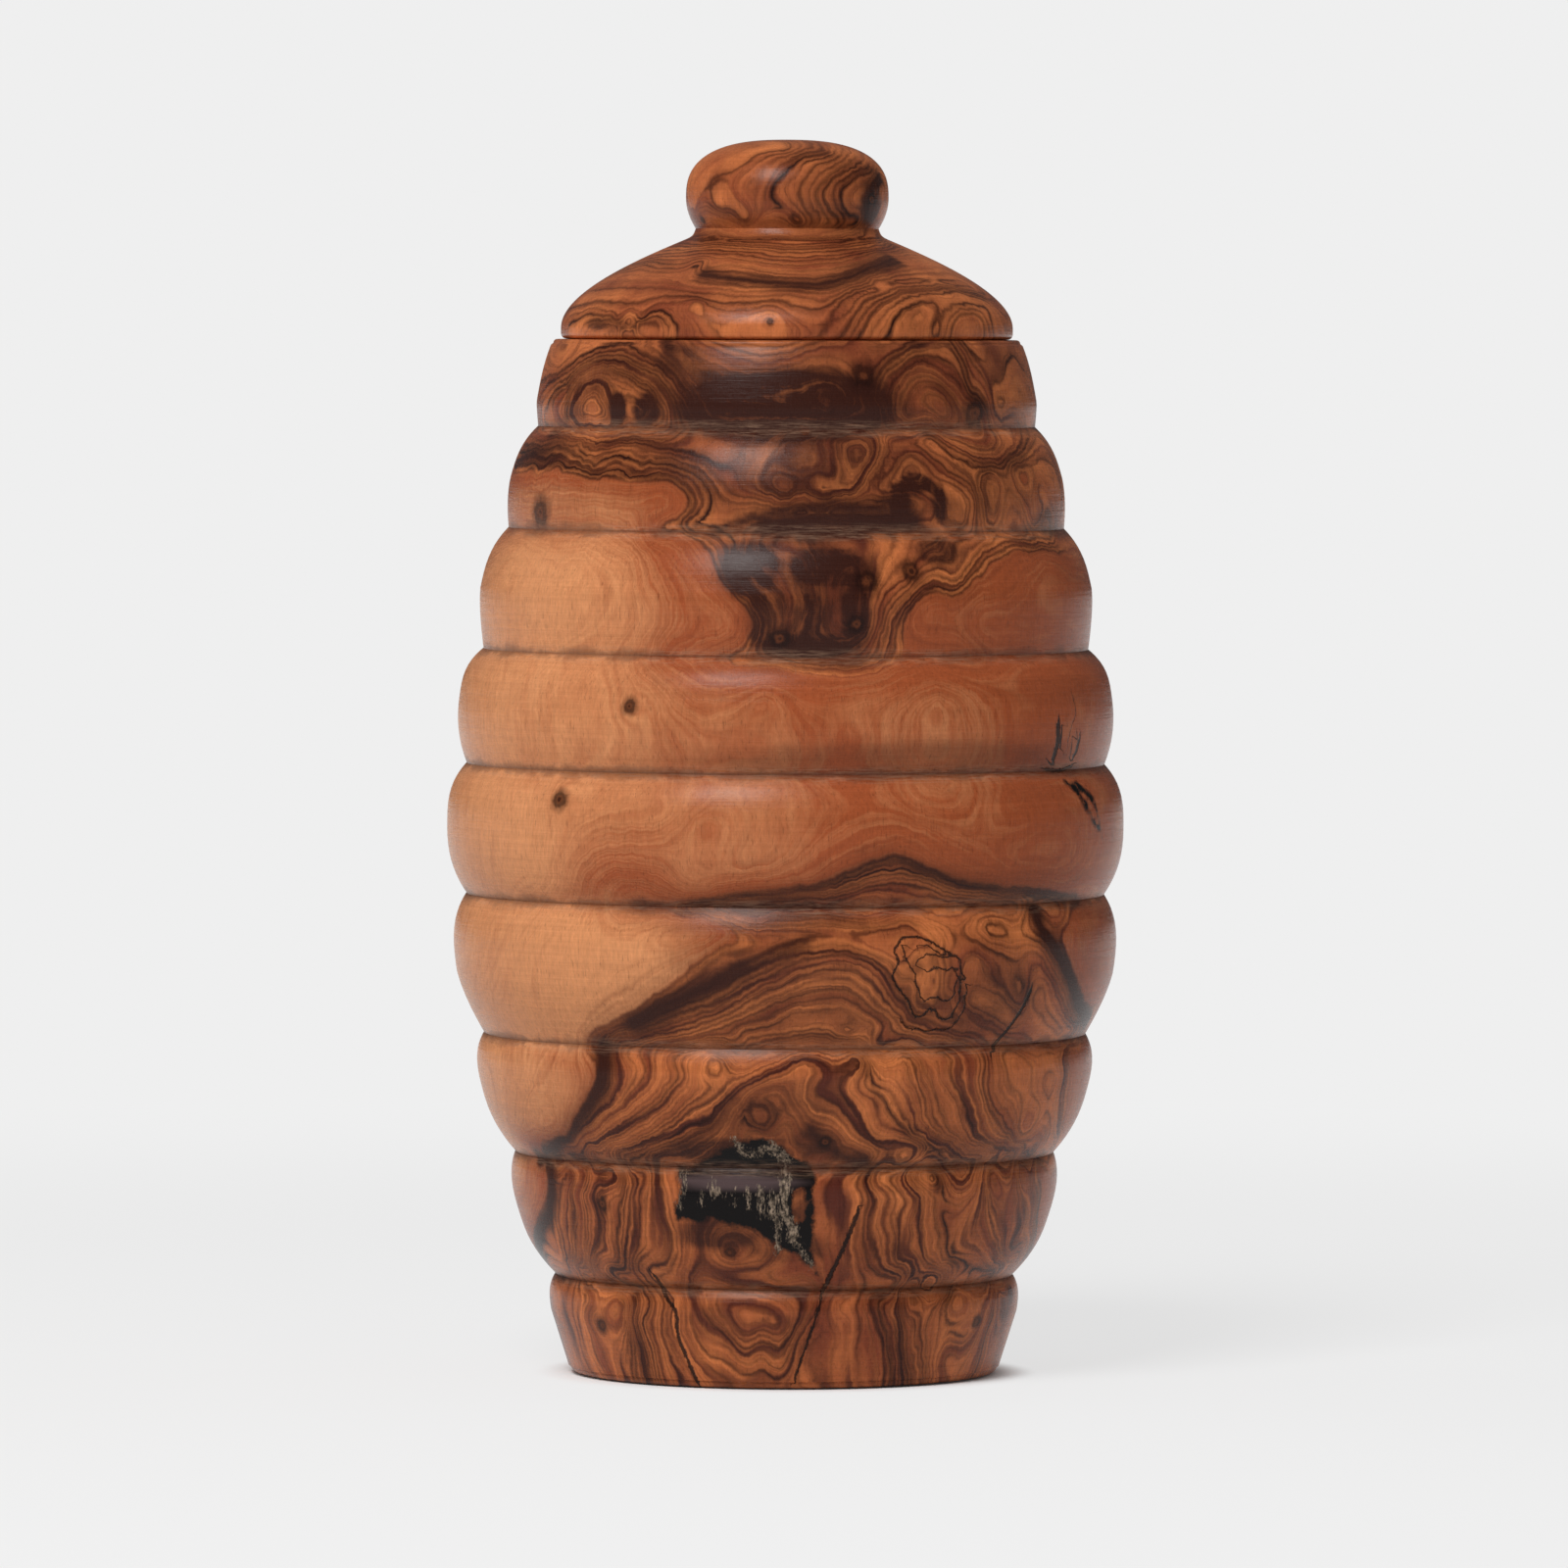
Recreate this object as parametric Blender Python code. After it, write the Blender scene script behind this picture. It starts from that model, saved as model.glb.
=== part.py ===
"""Turned olive-wood honey pot shaped like a skep beehive.

Three turned pieces: the ribbed pot, a domed lid with its knob turned in one with it, and a
honey dipper whose tenon is glued into the underside of the lid. Metres, +Z up, with the
origin at the centre of the foot. The pot's front faces -Y.
"""

import math

import bmesh
import bpy

# Pot, outside: a barrel between a foot and a rim, cut into nine beads by eight grooves
POT_HEIGHT = 0.1372
BELLY_RADIUS = 0.0450
RIM_RADIUS = 0.0310
FOOT_RADIUS = 0.0284
RIM_EDGE_ROUND = 0.0005
FOOT_EDGE_ROUND = 0.0008

# Grooves from the foot up: their heights as shares of the pot's height, and how far each one
# has filled out from the end of the pot nearest to it towards the belly
GROOVE_HEIGHT_SHARES = (0.095, 0.214, 0.329, 0.464, 0.590, 0.701, 0.818, 0.916)
GROOVE_FULLNESS_SHARES = (0.120, 0.446, 0.699, 0.843, 0.814, 0.657, 0.421, 0.143)
GROOVES_BELOW_BELLY = 4

# Beads from the foot up: how far each stands out, as a share of its own height, and where its
# crest lies, as a share of its height from its top
BEAD_BULGE_SHARES = (0.103, 0.135, 0.142, 0.142, 0.150, 0.149, 0.130, 0.126, 0.067)
BEAD_CREST_SHARES = (0.37, 0.57, 0.49, 0.54, 0.48, 0.40, 0.50, 0.48, 0.72)
BEAD_FALL_POWERS = (1.0, 2.2, 2.3, 1.5, 2.4, 2.2, 1.3, 1.6, 1.1)
BEAD_RISE_POWER = 3.0

# Pot, inside: the wall follows the barrel, and a straight mouth takes the lid's spigot
WALL_THICKNESS = 0.0088
FLOOR_THICKNESS = 0.0100
CAVITY_CORNER_RADIUS = 0.0050
MOUTH_RADIUS = 0.0235
MOUTH_DEPTH = 0.0100
MOUTH_EDGE_ROUND = 0.0006
SHOULDER_DROP = 0.0015

# Recess turned into the underside, so that the pot stands on a ring
FOOT_RING_WIDTH = 0.0080
FOOT_RECESS_DEPTH = 0.0010
FOOT_RECESS_SLOPE = 0.0012

# Lid: a flange on the rim, a dome over it, and a knob on a short neck
SEAT_GAP = 0.0003
LID_SETBACK = 0.0010
LID_HEIGHT = 0.0262
LID_EDGE_THICKNESS = 0.0012
LID_EDGE_ROUND = 0.0007
KNOB_RADIUS = 0.01345
KNOB_CROWN_HEIGHT = 0.0077
KNOB_SKIRT_HEIGHT = 0.0041
NECK_INSET = 0.0013
COVE_WIDTH = 0.0022
COVE_HEIGHT = 0.0018
KNOB_CROWN_POWER = 2.6
KNOB_SKIRT_POWER = 2.0
DOME_SHOULDER_SHARE = 0.42
DOME_CROWN_SHARE = 0.30
DOME_CROWN_SLOPE = 0.43
COVE_CORNER_SHARES = (0.16, 0.42)

# Spigot under the lid, which drops into the mouth
SPIGOT_LENGTH = 0.0080
SPIGOT_CLEARANCE = 0.0004
SPIGOT_CHAMFER = 0.0008

# Dipper: a tenon in the lid, a slender handle and a grooved head
TENON_RADIUS = 0.0032
TENON_LENGTH = 0.0100
GLUE_GAP = 0.0003
HANDLE_TOP_RADIUS = 0.0052
HANDLE_WAIST_RADIUS = 0.0031
COLLAR_HEIGHT = 0.0030
HEAD_RADIUS = 0.0098
HEAD_LENGTH = 0.0330
HEAD_CORE_RADIUS = 0.0040
HEAD_TIP_SHARE = 0.16
HEAD_REACH_SHARE = 0.78
HEAD_BLUNTNESS_POWER = 0.55
HEAD_DISCS = 7
DISC_THICKNESS_SHARE = 0.58
DISC_EDGE_SHARE = 0.22
DIPPER_FLOOR_CLEARANCE = 0.0070

# Facets
POT_SIDES = 48
DIPPER_SIDES = 20
BEAD_STEPS = 7
CAVITY_STEPS = 9
ROUND_STEPS = 3
DOME_STEPS = 9
COVE_STEPS = 3
KNOB_SKIRT_STEPS = 3
KNOB_CROWN_STEPS = 8
HANDLE_STEPS = 6
AXIS_TOLERANCE = 1e-7
SHARP_ANGLE = math.radians(28)

OLIVE_SAPWOOD = (0.56, 0.27, 0.11, 1.0)
OLIVE_HEARTWOOD = (0.36, 0.13, 0.05, 1.0)
WAXED_ROUGHNESS = 0.42


def clear_scene():
    for old in list(bpy.data.objects):
        bpy.data.objects.remove(old, do_unlink=True)


def wood(name, colour):
    """Waxed olive wood in one colour."""
    material = bpy.data.materials.new(name)
    material.use_nodes = True
    shader = material.node_tree.nodes["Principled BSDF"]
    shader.inputs["Base Color"].default_value = colour
    shader.inputs["Roughness"].default_value = WAXED_ROUGHNESS
    shader.inputs["Metallic"].default_value = 0.0
    return material


def quarter_round(centre, radii, start, end, steps=ROUND_STEPS):
    """Points on an ellipse's arc, angles in degrees from the radial direction."""
    points = []
    for step in range(steps + 1):
        angle = math.radians(start + (end - start) * step / steps)
        across = centre[0] + radii[0] * math.cos(angle)
        up = centre[1] + radii[1] * math.sin(angle)
        points.append((across, up))
    return points


def bezier(start, start_handle, end_handle, end, steps):
    points = []
    for step in range(steps + 1):
        t = step / steps
        weights = ((1 - t) ** 3, 3 * t * (1 - t) ** 2, 3 * t * t * (1 - t), t**3)
        controls = (start, start_handle, end_handle, end)
        across = sum(w * p[0] for w, p in zip(weights, controls))
        up = sum(w * p[1] for w, p in zip(weights, controls))
        points.append((across, up))
    return points


def turned(name, outline, sides, material):
    """Turns an outline of (radius, height) points, closed on the axis, into one solid."""
    mesh = bpy.data.meshes.new(name)
    shape = bmesh.new()
    corners = [shape.verts.new((radius, 0, height)) for radius, height in outline]
    edges = [shape.edges.new(pair) for pair in zip(corners, corners[1:])]
    bmesh.ops.spin(
        shape,
        geom=corners + edges,
        cent=(0, 0, 0),
        axis=(0, 0, 1),
        angle=2 * math.pi,
        steps=sides,
        use_merge=True,
    )
    bmesh.ops.remove_doubles(shape, verts=shape.verts, dist=AXIS_TOLERANCE)
    bmesh.ops.recalc_face_normals(shape, faces=shape.faces)
    shape.to_mesh(mesh)
    shape.free()
    mesh.shade_smooth()
    mesh.set_sharp_from_angle(angle=SHARP_ANGLE)
    mesh.materials.append(material)
    made = bpy.data.objects.new(name, mesh)
    bpy.context.scene.collection.objects.link(made)
    return made


def groove_points():
    """The bottom of each groove, with the foot and the rim as the first and last stations."""
    points = [(FOOT_RADIUS, 0)]
    shares = zip(GROOVE_HEIGHT_SHARES, GROOVE_FULLNESS_SHARES)
    for number, (height_share, fullness) in enumerate(shares):
        end = FOOT_RADIUS if number < GROOVES_BELOW_BELLY else RIM_RADIUS
        points.append((end + (BELLY_RADIUS - end) * fullness, POT_HEIGHT * height_share))
    points.append((RIM_RADIUS, POT_HEIGHT))
    return points


def barrel_radius(height):
    """The barrel's radius under the beads, on a smooth curve through the grooves."""
    stations = groove_points()
    last = len(stations) - 2
    place = max(i for i in range(last + 1) if i == 0 or stations[i][1] <= height)
    low, high = stations[place], stations[place + 1]
    before = stations[max(place - 1, 0)]
    after = stations[min(place + 2, last + 1)]
    slope_low = (high[0] - before[0]) / (high[1] - before[1])
    slope_high = (after[0] - low[0]) / (after[1] - low[1])
    span = high[1] - low[1]
    t = (height - low[1]) / span
    start = (1 + 2 * t) * (1 - t) ** 2 * low[0]
    leaving = t * (1 - t) ** 2 * span * slope_low
    finish = t * t * (3 - 2 * t) * high[0]
    arriving = t * t * (t - 1) * span * slope_high
    return start + leaving + finish + arriving


def bead(low, high, bulge_share, crest_share, fall_power):
    """Points up one bead, from the groove under it to just short of the groove over it."""
    height = high[1] - low[1]
    points = []
    for step in range(BEAD_STEPS):
        share = (1 - math.cos(math.pi * step / BEAD_STEPS)) / 2
        from_top = 1 - share
        if from_top < crest_share:
            fullness = 1 - ((crest_share - from_top) / crest_share) ** BEAD_RISE_POWER
        else:
            fullness = 1 - ((from_top - crest_share) / (1 - crest_share)) ** fall_power
        chord = low[0] + (high[0] - low[0]) * share
        points.append((chord + bulge_share * height * fullness, low[1] + height * share))
    return points


def pot_outside():
    """The outside, from the foot's rounded edge up to the rim's."""
    stations = groove_points()
    points = []
    for number, (low, high) in enumerate(zip(stations, stations[1:])):
        shape = (BEAD_BULGE_SHARES[number], BEAD_CREST_SHARES[number], BEAD_FALL_POWERS[number])
        points += bead(low, high, *shape)
    foot_centre = (FOOT_RADIUS - FOOT_EDGE_ROUND, FOOT_EDGE_ROUND)
    foot_edge = quarter_round(foot_centre, (FOOT_EDGE_ROUND, FOOT_EDGE_ROUND), -90, 0)
    rim_centre = (RIM_RADIUS - RIM_EDGE_ROUND, POT_HEIGHT - RIM_EDGE_ROUND)
    rim_edge = quarter_round(rim_centre, (RIM_EDGE_ROUND, RIM_EDGE_ROUND), 0, 90)
    on_side = [p for p in points if FOOT_EDGE_ROUND < p[1] < POT_HEIGHT - RIM_EDGE_ROUND]
    return foot_edge + on_side + rim_edge


def pot_inside():
    """The inside, from the mouth's edge down to the middle of the floor."""
    mouth_centre = (MOUTH_RADIUS + MOUTH_EDGE_ROUND, POT_HEIGHT - MOUTH_EDGE_ROUND)
    points = quarter_round(mouth_centre, (MOUTH_EDGE_ROUND, MOUTH_EDGE_ROUND), 90, 180)
    mouth_bottom = POT_HEIGHT - MOUTH_DEPTH
    points.append((MOUTH_RADIUS, mouth_bottom))
    top = mouth_bottom - SHOULDER_DROP
    bottom = FLOOR_THICKNESS + CAVITY_CORNER_RADIUS
    for step in range(CAVITY_STEPS + 1):
        height = top + (bottom - top) * step / CAVITY_STEPS
        points.append((barrel_radius(height) - WALL_THICKNESS, height))
    corner_radii = (CAVITY_CORNER_RADIUS, CAVITY_CORNER_RADIUS)
    corner_centre = (points[-1][0] - CAVITY_CORNER_RADIUS, bottom)
    points += quarter_round(corner_centre, corner_radii, 0, -90)[1:]
    points.append((0, FLOOR_THICKNESS))
    return points


def pot_underside():
    """The underside, from its middle out to the foot ring."""
    ring_inner_radius = FOOT_RADIUS - FOOT_RING_WIDTH
    return [
        (0, FOOT_RECESS_DEPTH),
        (ring_inner_radius - FOOT_RECESS_SLOPE, FOOT_RECESS_DEPTH),
        (ring_inner_radius, 0),
    ]


def make_pot(material):
    outline = pot_underside() + pot_outside() + pot_inside()
    return turned("pot_body", outline, POT_SIDES, material)


def lid_flange_height():
    return POT_HEIGHT + SEAT_GAP


def spigot_underside_height():
    return lid_flange_height() - SPIGOT_LENGTH


def knob_crest_height():
    """Where the knob is widest."""
    return lid_flange_height() + LID_HEIGHT - KNOB_CROWN_HEIGHT


def neck_point():
    """Where the knob's skirt has come in to the neck."""
    return (KNOB_RADIUS - NECK_INSET, knob_crest_height() - KNOB_SKIRT_HEIGHT)


def knob_outline():
    """The knob from its neck out to its crest and over to the middle of its top."""
    points = []
    for step in range(KNOB_SKIRT_STEPS):
        depth = 1 - step / KNOB_SKIRT_STEPS
        across = KNOB_RADIUS - NECK_INSET * depth**KNOB_SKIRT_POWER
        points.append((across, knob_crest_height() - KNOB_SKIRT_HEIGHT * depth))
    for step in range(KNOB_CROWN_STEPS):
        angle = math.pi / 2 * step / KNOB_CROWN_STEPS
        across = KNOB_RADIUS * math.cos(angle) ** (2 / KNOB_CROWN_POWER)
        rise = KNOB_CROWN_HEIGHT * math.sin(angle) ** (2 / KNOB_CROWN_POWER)
        points.append((across, knob_crest_height() + rise))
    points.append((0, knob_crest_height() + KNOB_CROWN_HEIGHT))
    return points


def dome_outline():
    """The dome from the flange's edge up to its crown, and the cove from there to the neck."""
    lid_radius = RIM_RADIUS - LID_SETBACK
    neck = neck_point()
    start = (lid_radius, lid_flange_height() + LID_EDGE_THICKNESS)
    end = (neck[0] + COVE_WIDTH, neck[1] - COVE_HEIGHT)
    rise = end[1] - start[1]
    shoulder = (lid_radius, start[1] + rise * DOME_SHOULDER_SHARE)
    crown_reach = (start[0] - end[0]) * DOME_CROWN_SHARE
    crown = (end[0] + crown_reach, end[1] - crown_reach * DOME_CROWN_SLOPE)
    across_share, up_share = COVE_CORNER_SHARES
    corner = (neck[0] + COVE_WIDTH * across_share, end[1] + COVE_HEIGHT * up_share)
    cove = bezier(end, corner, corner, neck, COVE_STEPS)
    return bezier(start, shoulder, crown, end, DOME_STEPS) + cove[1:-1]


def lid_outline():
    """The lid from the tenon's hole round its underside and edge to the top of the knob."""
    hole_radius = TENON_RADIUS + GLUE_GAP
    hole_end = spigot_underside_height() + TENON_LENGTH + GLUE_GAP
    spigot_radius = MOUTH_RADIUS - SPIGOT_CLEARANCE
    underside = spigot_underside_height()
    lid_radius = RIM_RADIUS - LID_SETBACK
    edge_centre = (lid_radius - LID_EDGE_ROUND, lid_flange_height() + LID_EDGE_ROUND)
    points = [
        (0, hole_end),
        (hole_radius, hole_end),
        (hole_radius, underside),
        (spigot_radius - SPIGOT_CHAMFER, underside),
        (spigot_radius, underside + SPIGOT_CHAMFER),
        (spigot_radius, lid_flange_height()),
    ]
    points += quarter_round(edge_centre, (LID_EDGE_ROUND, LID_EDGE_ROUND), -90, 0)
    return points + dome_outline() + knob_outline()


def make_lid(material):
    return turned("lid", lid_outline(), POT_SIDES, material)


def head_envelope(share):
    """The head's radius at a share of its length from its tip: an egg, blunt at the tip."""
    swing = math.pi * (HEAD_TIP_SHARE + HEAD_REACH_SHARE * share)
    return HEAD_RADIUS * math.sin(swing) ** HEAD_BLUNTNESS_POWER


def head_outline(tip_height):
    """The head from its tip to its last disc, with a groove between each two discs."""
    pitch = HEAD_LENGTH / HEAD_DISCS
    disc = pitch * DISC_THICKNESS_SHARE
    edge = disc * DISC_EDGE_SHARE
    points = [(0, tip_height)]
    for number in range(HEAD_DISCS):
        bottom = tip_height + pitch * number
        radius = head_envelope((number + 0.5) / HEAD_DISCS)
        if number:
            points.append((HEAD_CORE_RADIUS, bottom))
        points.append((radius - edge, bottom))
        points.append((radius, bottom + edge))
        points.append((radius, bottom + disc - edge))
        points.append((radius - edge, bottom + disc))
        if number < HEAD_DISCS - 1:
            points.append((HEAD_CORE_RADIUS, bottom + disc))
    return points


def handle_outline(bottom, top):
    """The handle from the head up to its collar: a long waist that swells towards the lid."""
    collar_bottom = top - COLLAR_HEIGHT
    points = [(HANDLE_WAIST_RADIUS, bottom)]
    for step in range(HANDLE_STEPS + 1):
        share = step / HANDLE_STEPS
        swell = (1 - math.cos(math.pi * share)) / 2
        radius = HANDLE_WAIST_RADIUS + (HANDLE_TOP_RADIUS - HANDLE_WAIST_RADIUS) * swell
        points.append((radius, bottom + (collar_bottom - bottom) * (1 + share) / 2))
    points.append((HANDLE_TOP_RADIUS, top))
    return points


def make_dipper(material):
    tip_height = FLOOR_THICKNESS + DIPPER_FLOOR_CLEARANCE
    shoulder_height = spigot_underside_height() - GLUE_GAP
    tenon_top = spigot_underside_height() + TENON_LENGTH
    outline = head_outline(tip_height)
    outline += handle_outline(outline[-1][1], shoulder_height)
    outline += [(TENON_RADIUS, shoulder_height), (TENON_RADIUS, tenon_top), (0, tenon_top)]
    return turned("dipper", outline, DIPPER_SIDES, material)


def main():
    clear_scene()
    make_pot(wood("olive_wood_pot", OLIVE_SAPWOOD))
    make_lid(wood("olive_wood_lid", OLIVE_HEARTWOOD))
    make_dipper(wood("olive_wood_dipper", OLIVE_SAPWOOD))


main()
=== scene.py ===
"""A turned olive-wood honey pot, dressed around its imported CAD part.

The pot, the lid and the dipper are turned again here with fine facets, so that the wood's figure
can follow the one that the photograph shows. Lengths in the code are metres, and millimetres
where a name or a comment says so. +Z is up and the front faces -Y.
"""

import logging
import math
from collections.abc import Callable, Mapping, Sequence
from dataclasses import dataclass
from enum import Enum
from typing import Any, NamedTuple

import bpy
import numpy as np
from mathutils import Matrix, Vector


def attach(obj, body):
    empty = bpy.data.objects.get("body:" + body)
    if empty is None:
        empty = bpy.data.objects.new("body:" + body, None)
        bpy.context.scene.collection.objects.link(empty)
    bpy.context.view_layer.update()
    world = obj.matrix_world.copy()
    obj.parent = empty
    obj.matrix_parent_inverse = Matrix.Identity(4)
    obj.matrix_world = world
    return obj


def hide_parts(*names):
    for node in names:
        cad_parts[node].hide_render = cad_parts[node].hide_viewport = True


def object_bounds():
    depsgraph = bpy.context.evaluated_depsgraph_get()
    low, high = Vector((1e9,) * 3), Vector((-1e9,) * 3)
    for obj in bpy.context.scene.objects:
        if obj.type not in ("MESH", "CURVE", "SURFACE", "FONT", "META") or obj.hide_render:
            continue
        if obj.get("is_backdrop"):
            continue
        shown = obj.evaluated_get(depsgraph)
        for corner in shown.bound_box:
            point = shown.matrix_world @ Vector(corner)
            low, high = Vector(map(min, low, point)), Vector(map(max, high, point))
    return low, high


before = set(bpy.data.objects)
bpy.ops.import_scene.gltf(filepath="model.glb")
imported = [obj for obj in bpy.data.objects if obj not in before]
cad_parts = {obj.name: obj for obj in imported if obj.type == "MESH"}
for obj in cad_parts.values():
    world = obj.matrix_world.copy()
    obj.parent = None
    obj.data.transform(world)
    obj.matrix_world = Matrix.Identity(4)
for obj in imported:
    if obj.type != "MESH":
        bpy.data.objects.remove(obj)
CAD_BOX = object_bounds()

LOG = logging.getLogger("honey_pot")

MM = 0.001
Point = tuple[float, float]
Ball = tuple[tuple[float, float, float], float]
Array = np.ndarray

# Turning the meshes, and laying them out flat on the map that their colours are baked on
MERGE_DISTANCE = 0.01 * MM
SHARP_ANGLE = math.radians(40)
EDGE_STEPS = 5
CORNER_STEPS = 8
BAKE_MAP = "OFBake"
SHOWN_FLOOR = 0.34
AXIS_MM = 0.05

# Reading the figure: in mm, apart from the batches of vertices and the smallest number
LEAST_RADIUS = 0.5
COURSE_STEP = 1.0
SURVEY_BATCH = 20000
FIELD_BATCH = 6000
TINY = 1e-9

# How far a streak's own line, bar and clearness reach, and a crack's faded ends, in mm
LINE_REACH = 1.1
BAR_WIDTH = 1.2
BAR_TIGHTNESS = 1.4
CLEAR_REACH = 5.5
HIDDEN_CLARITY = 0.4
CRACK_FADE = 1.3

# Where a patch starts to fade and where it ends, as shares of its half sizes
PATCH_HEART = 0.6
PATCH_EDGE = 1.25

# The growth line where the heartwood ends
SAPWOOD_LINE = 40


@dataclass(frozen=True)
class Streak:
    """One growth line as it runs over the turned surface.

    Lines are numbered from the pith outwards, and those over SAPWOOD_LINE are in the sapwood.
    The course is (degrees right of the front, mm up) on the pot, and (mm right, mm up) on the
    front of the lid and the dipper. A streak of no darkness only says which line runs there.
    """

    line: float
    darkness: float
    width: float
    course: tuple[Point, ...]


@dataclass(frozen=True)
class Patch:
    """An oval of dark heartwood, at a place like a Streak's, with half its sizes in mm. A few are
    painted shade, and one a painted highlight.
    """

    across: float
    height: float
    half_width: float
    half_height: float
    darkness: float


@dataclass(frozen=True)
class Knot:
    """A small knot, at a place like a Streak's, with its radius in mm."""

    across: float
    height: float
    radius: float


@dataclass(frozen=True)
class Slit:
    """A crack or a strip of bark along a course like a Streak's, with its full width in mm."""

    width: float
    course: tuple[Point, ...]


class Lie(Enum):
    """How a figure's places are read: unrolled round the axis, or seen from the front."""

    UNROLLED = "unrolled"
    FRONTAL = "frontal"


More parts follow.
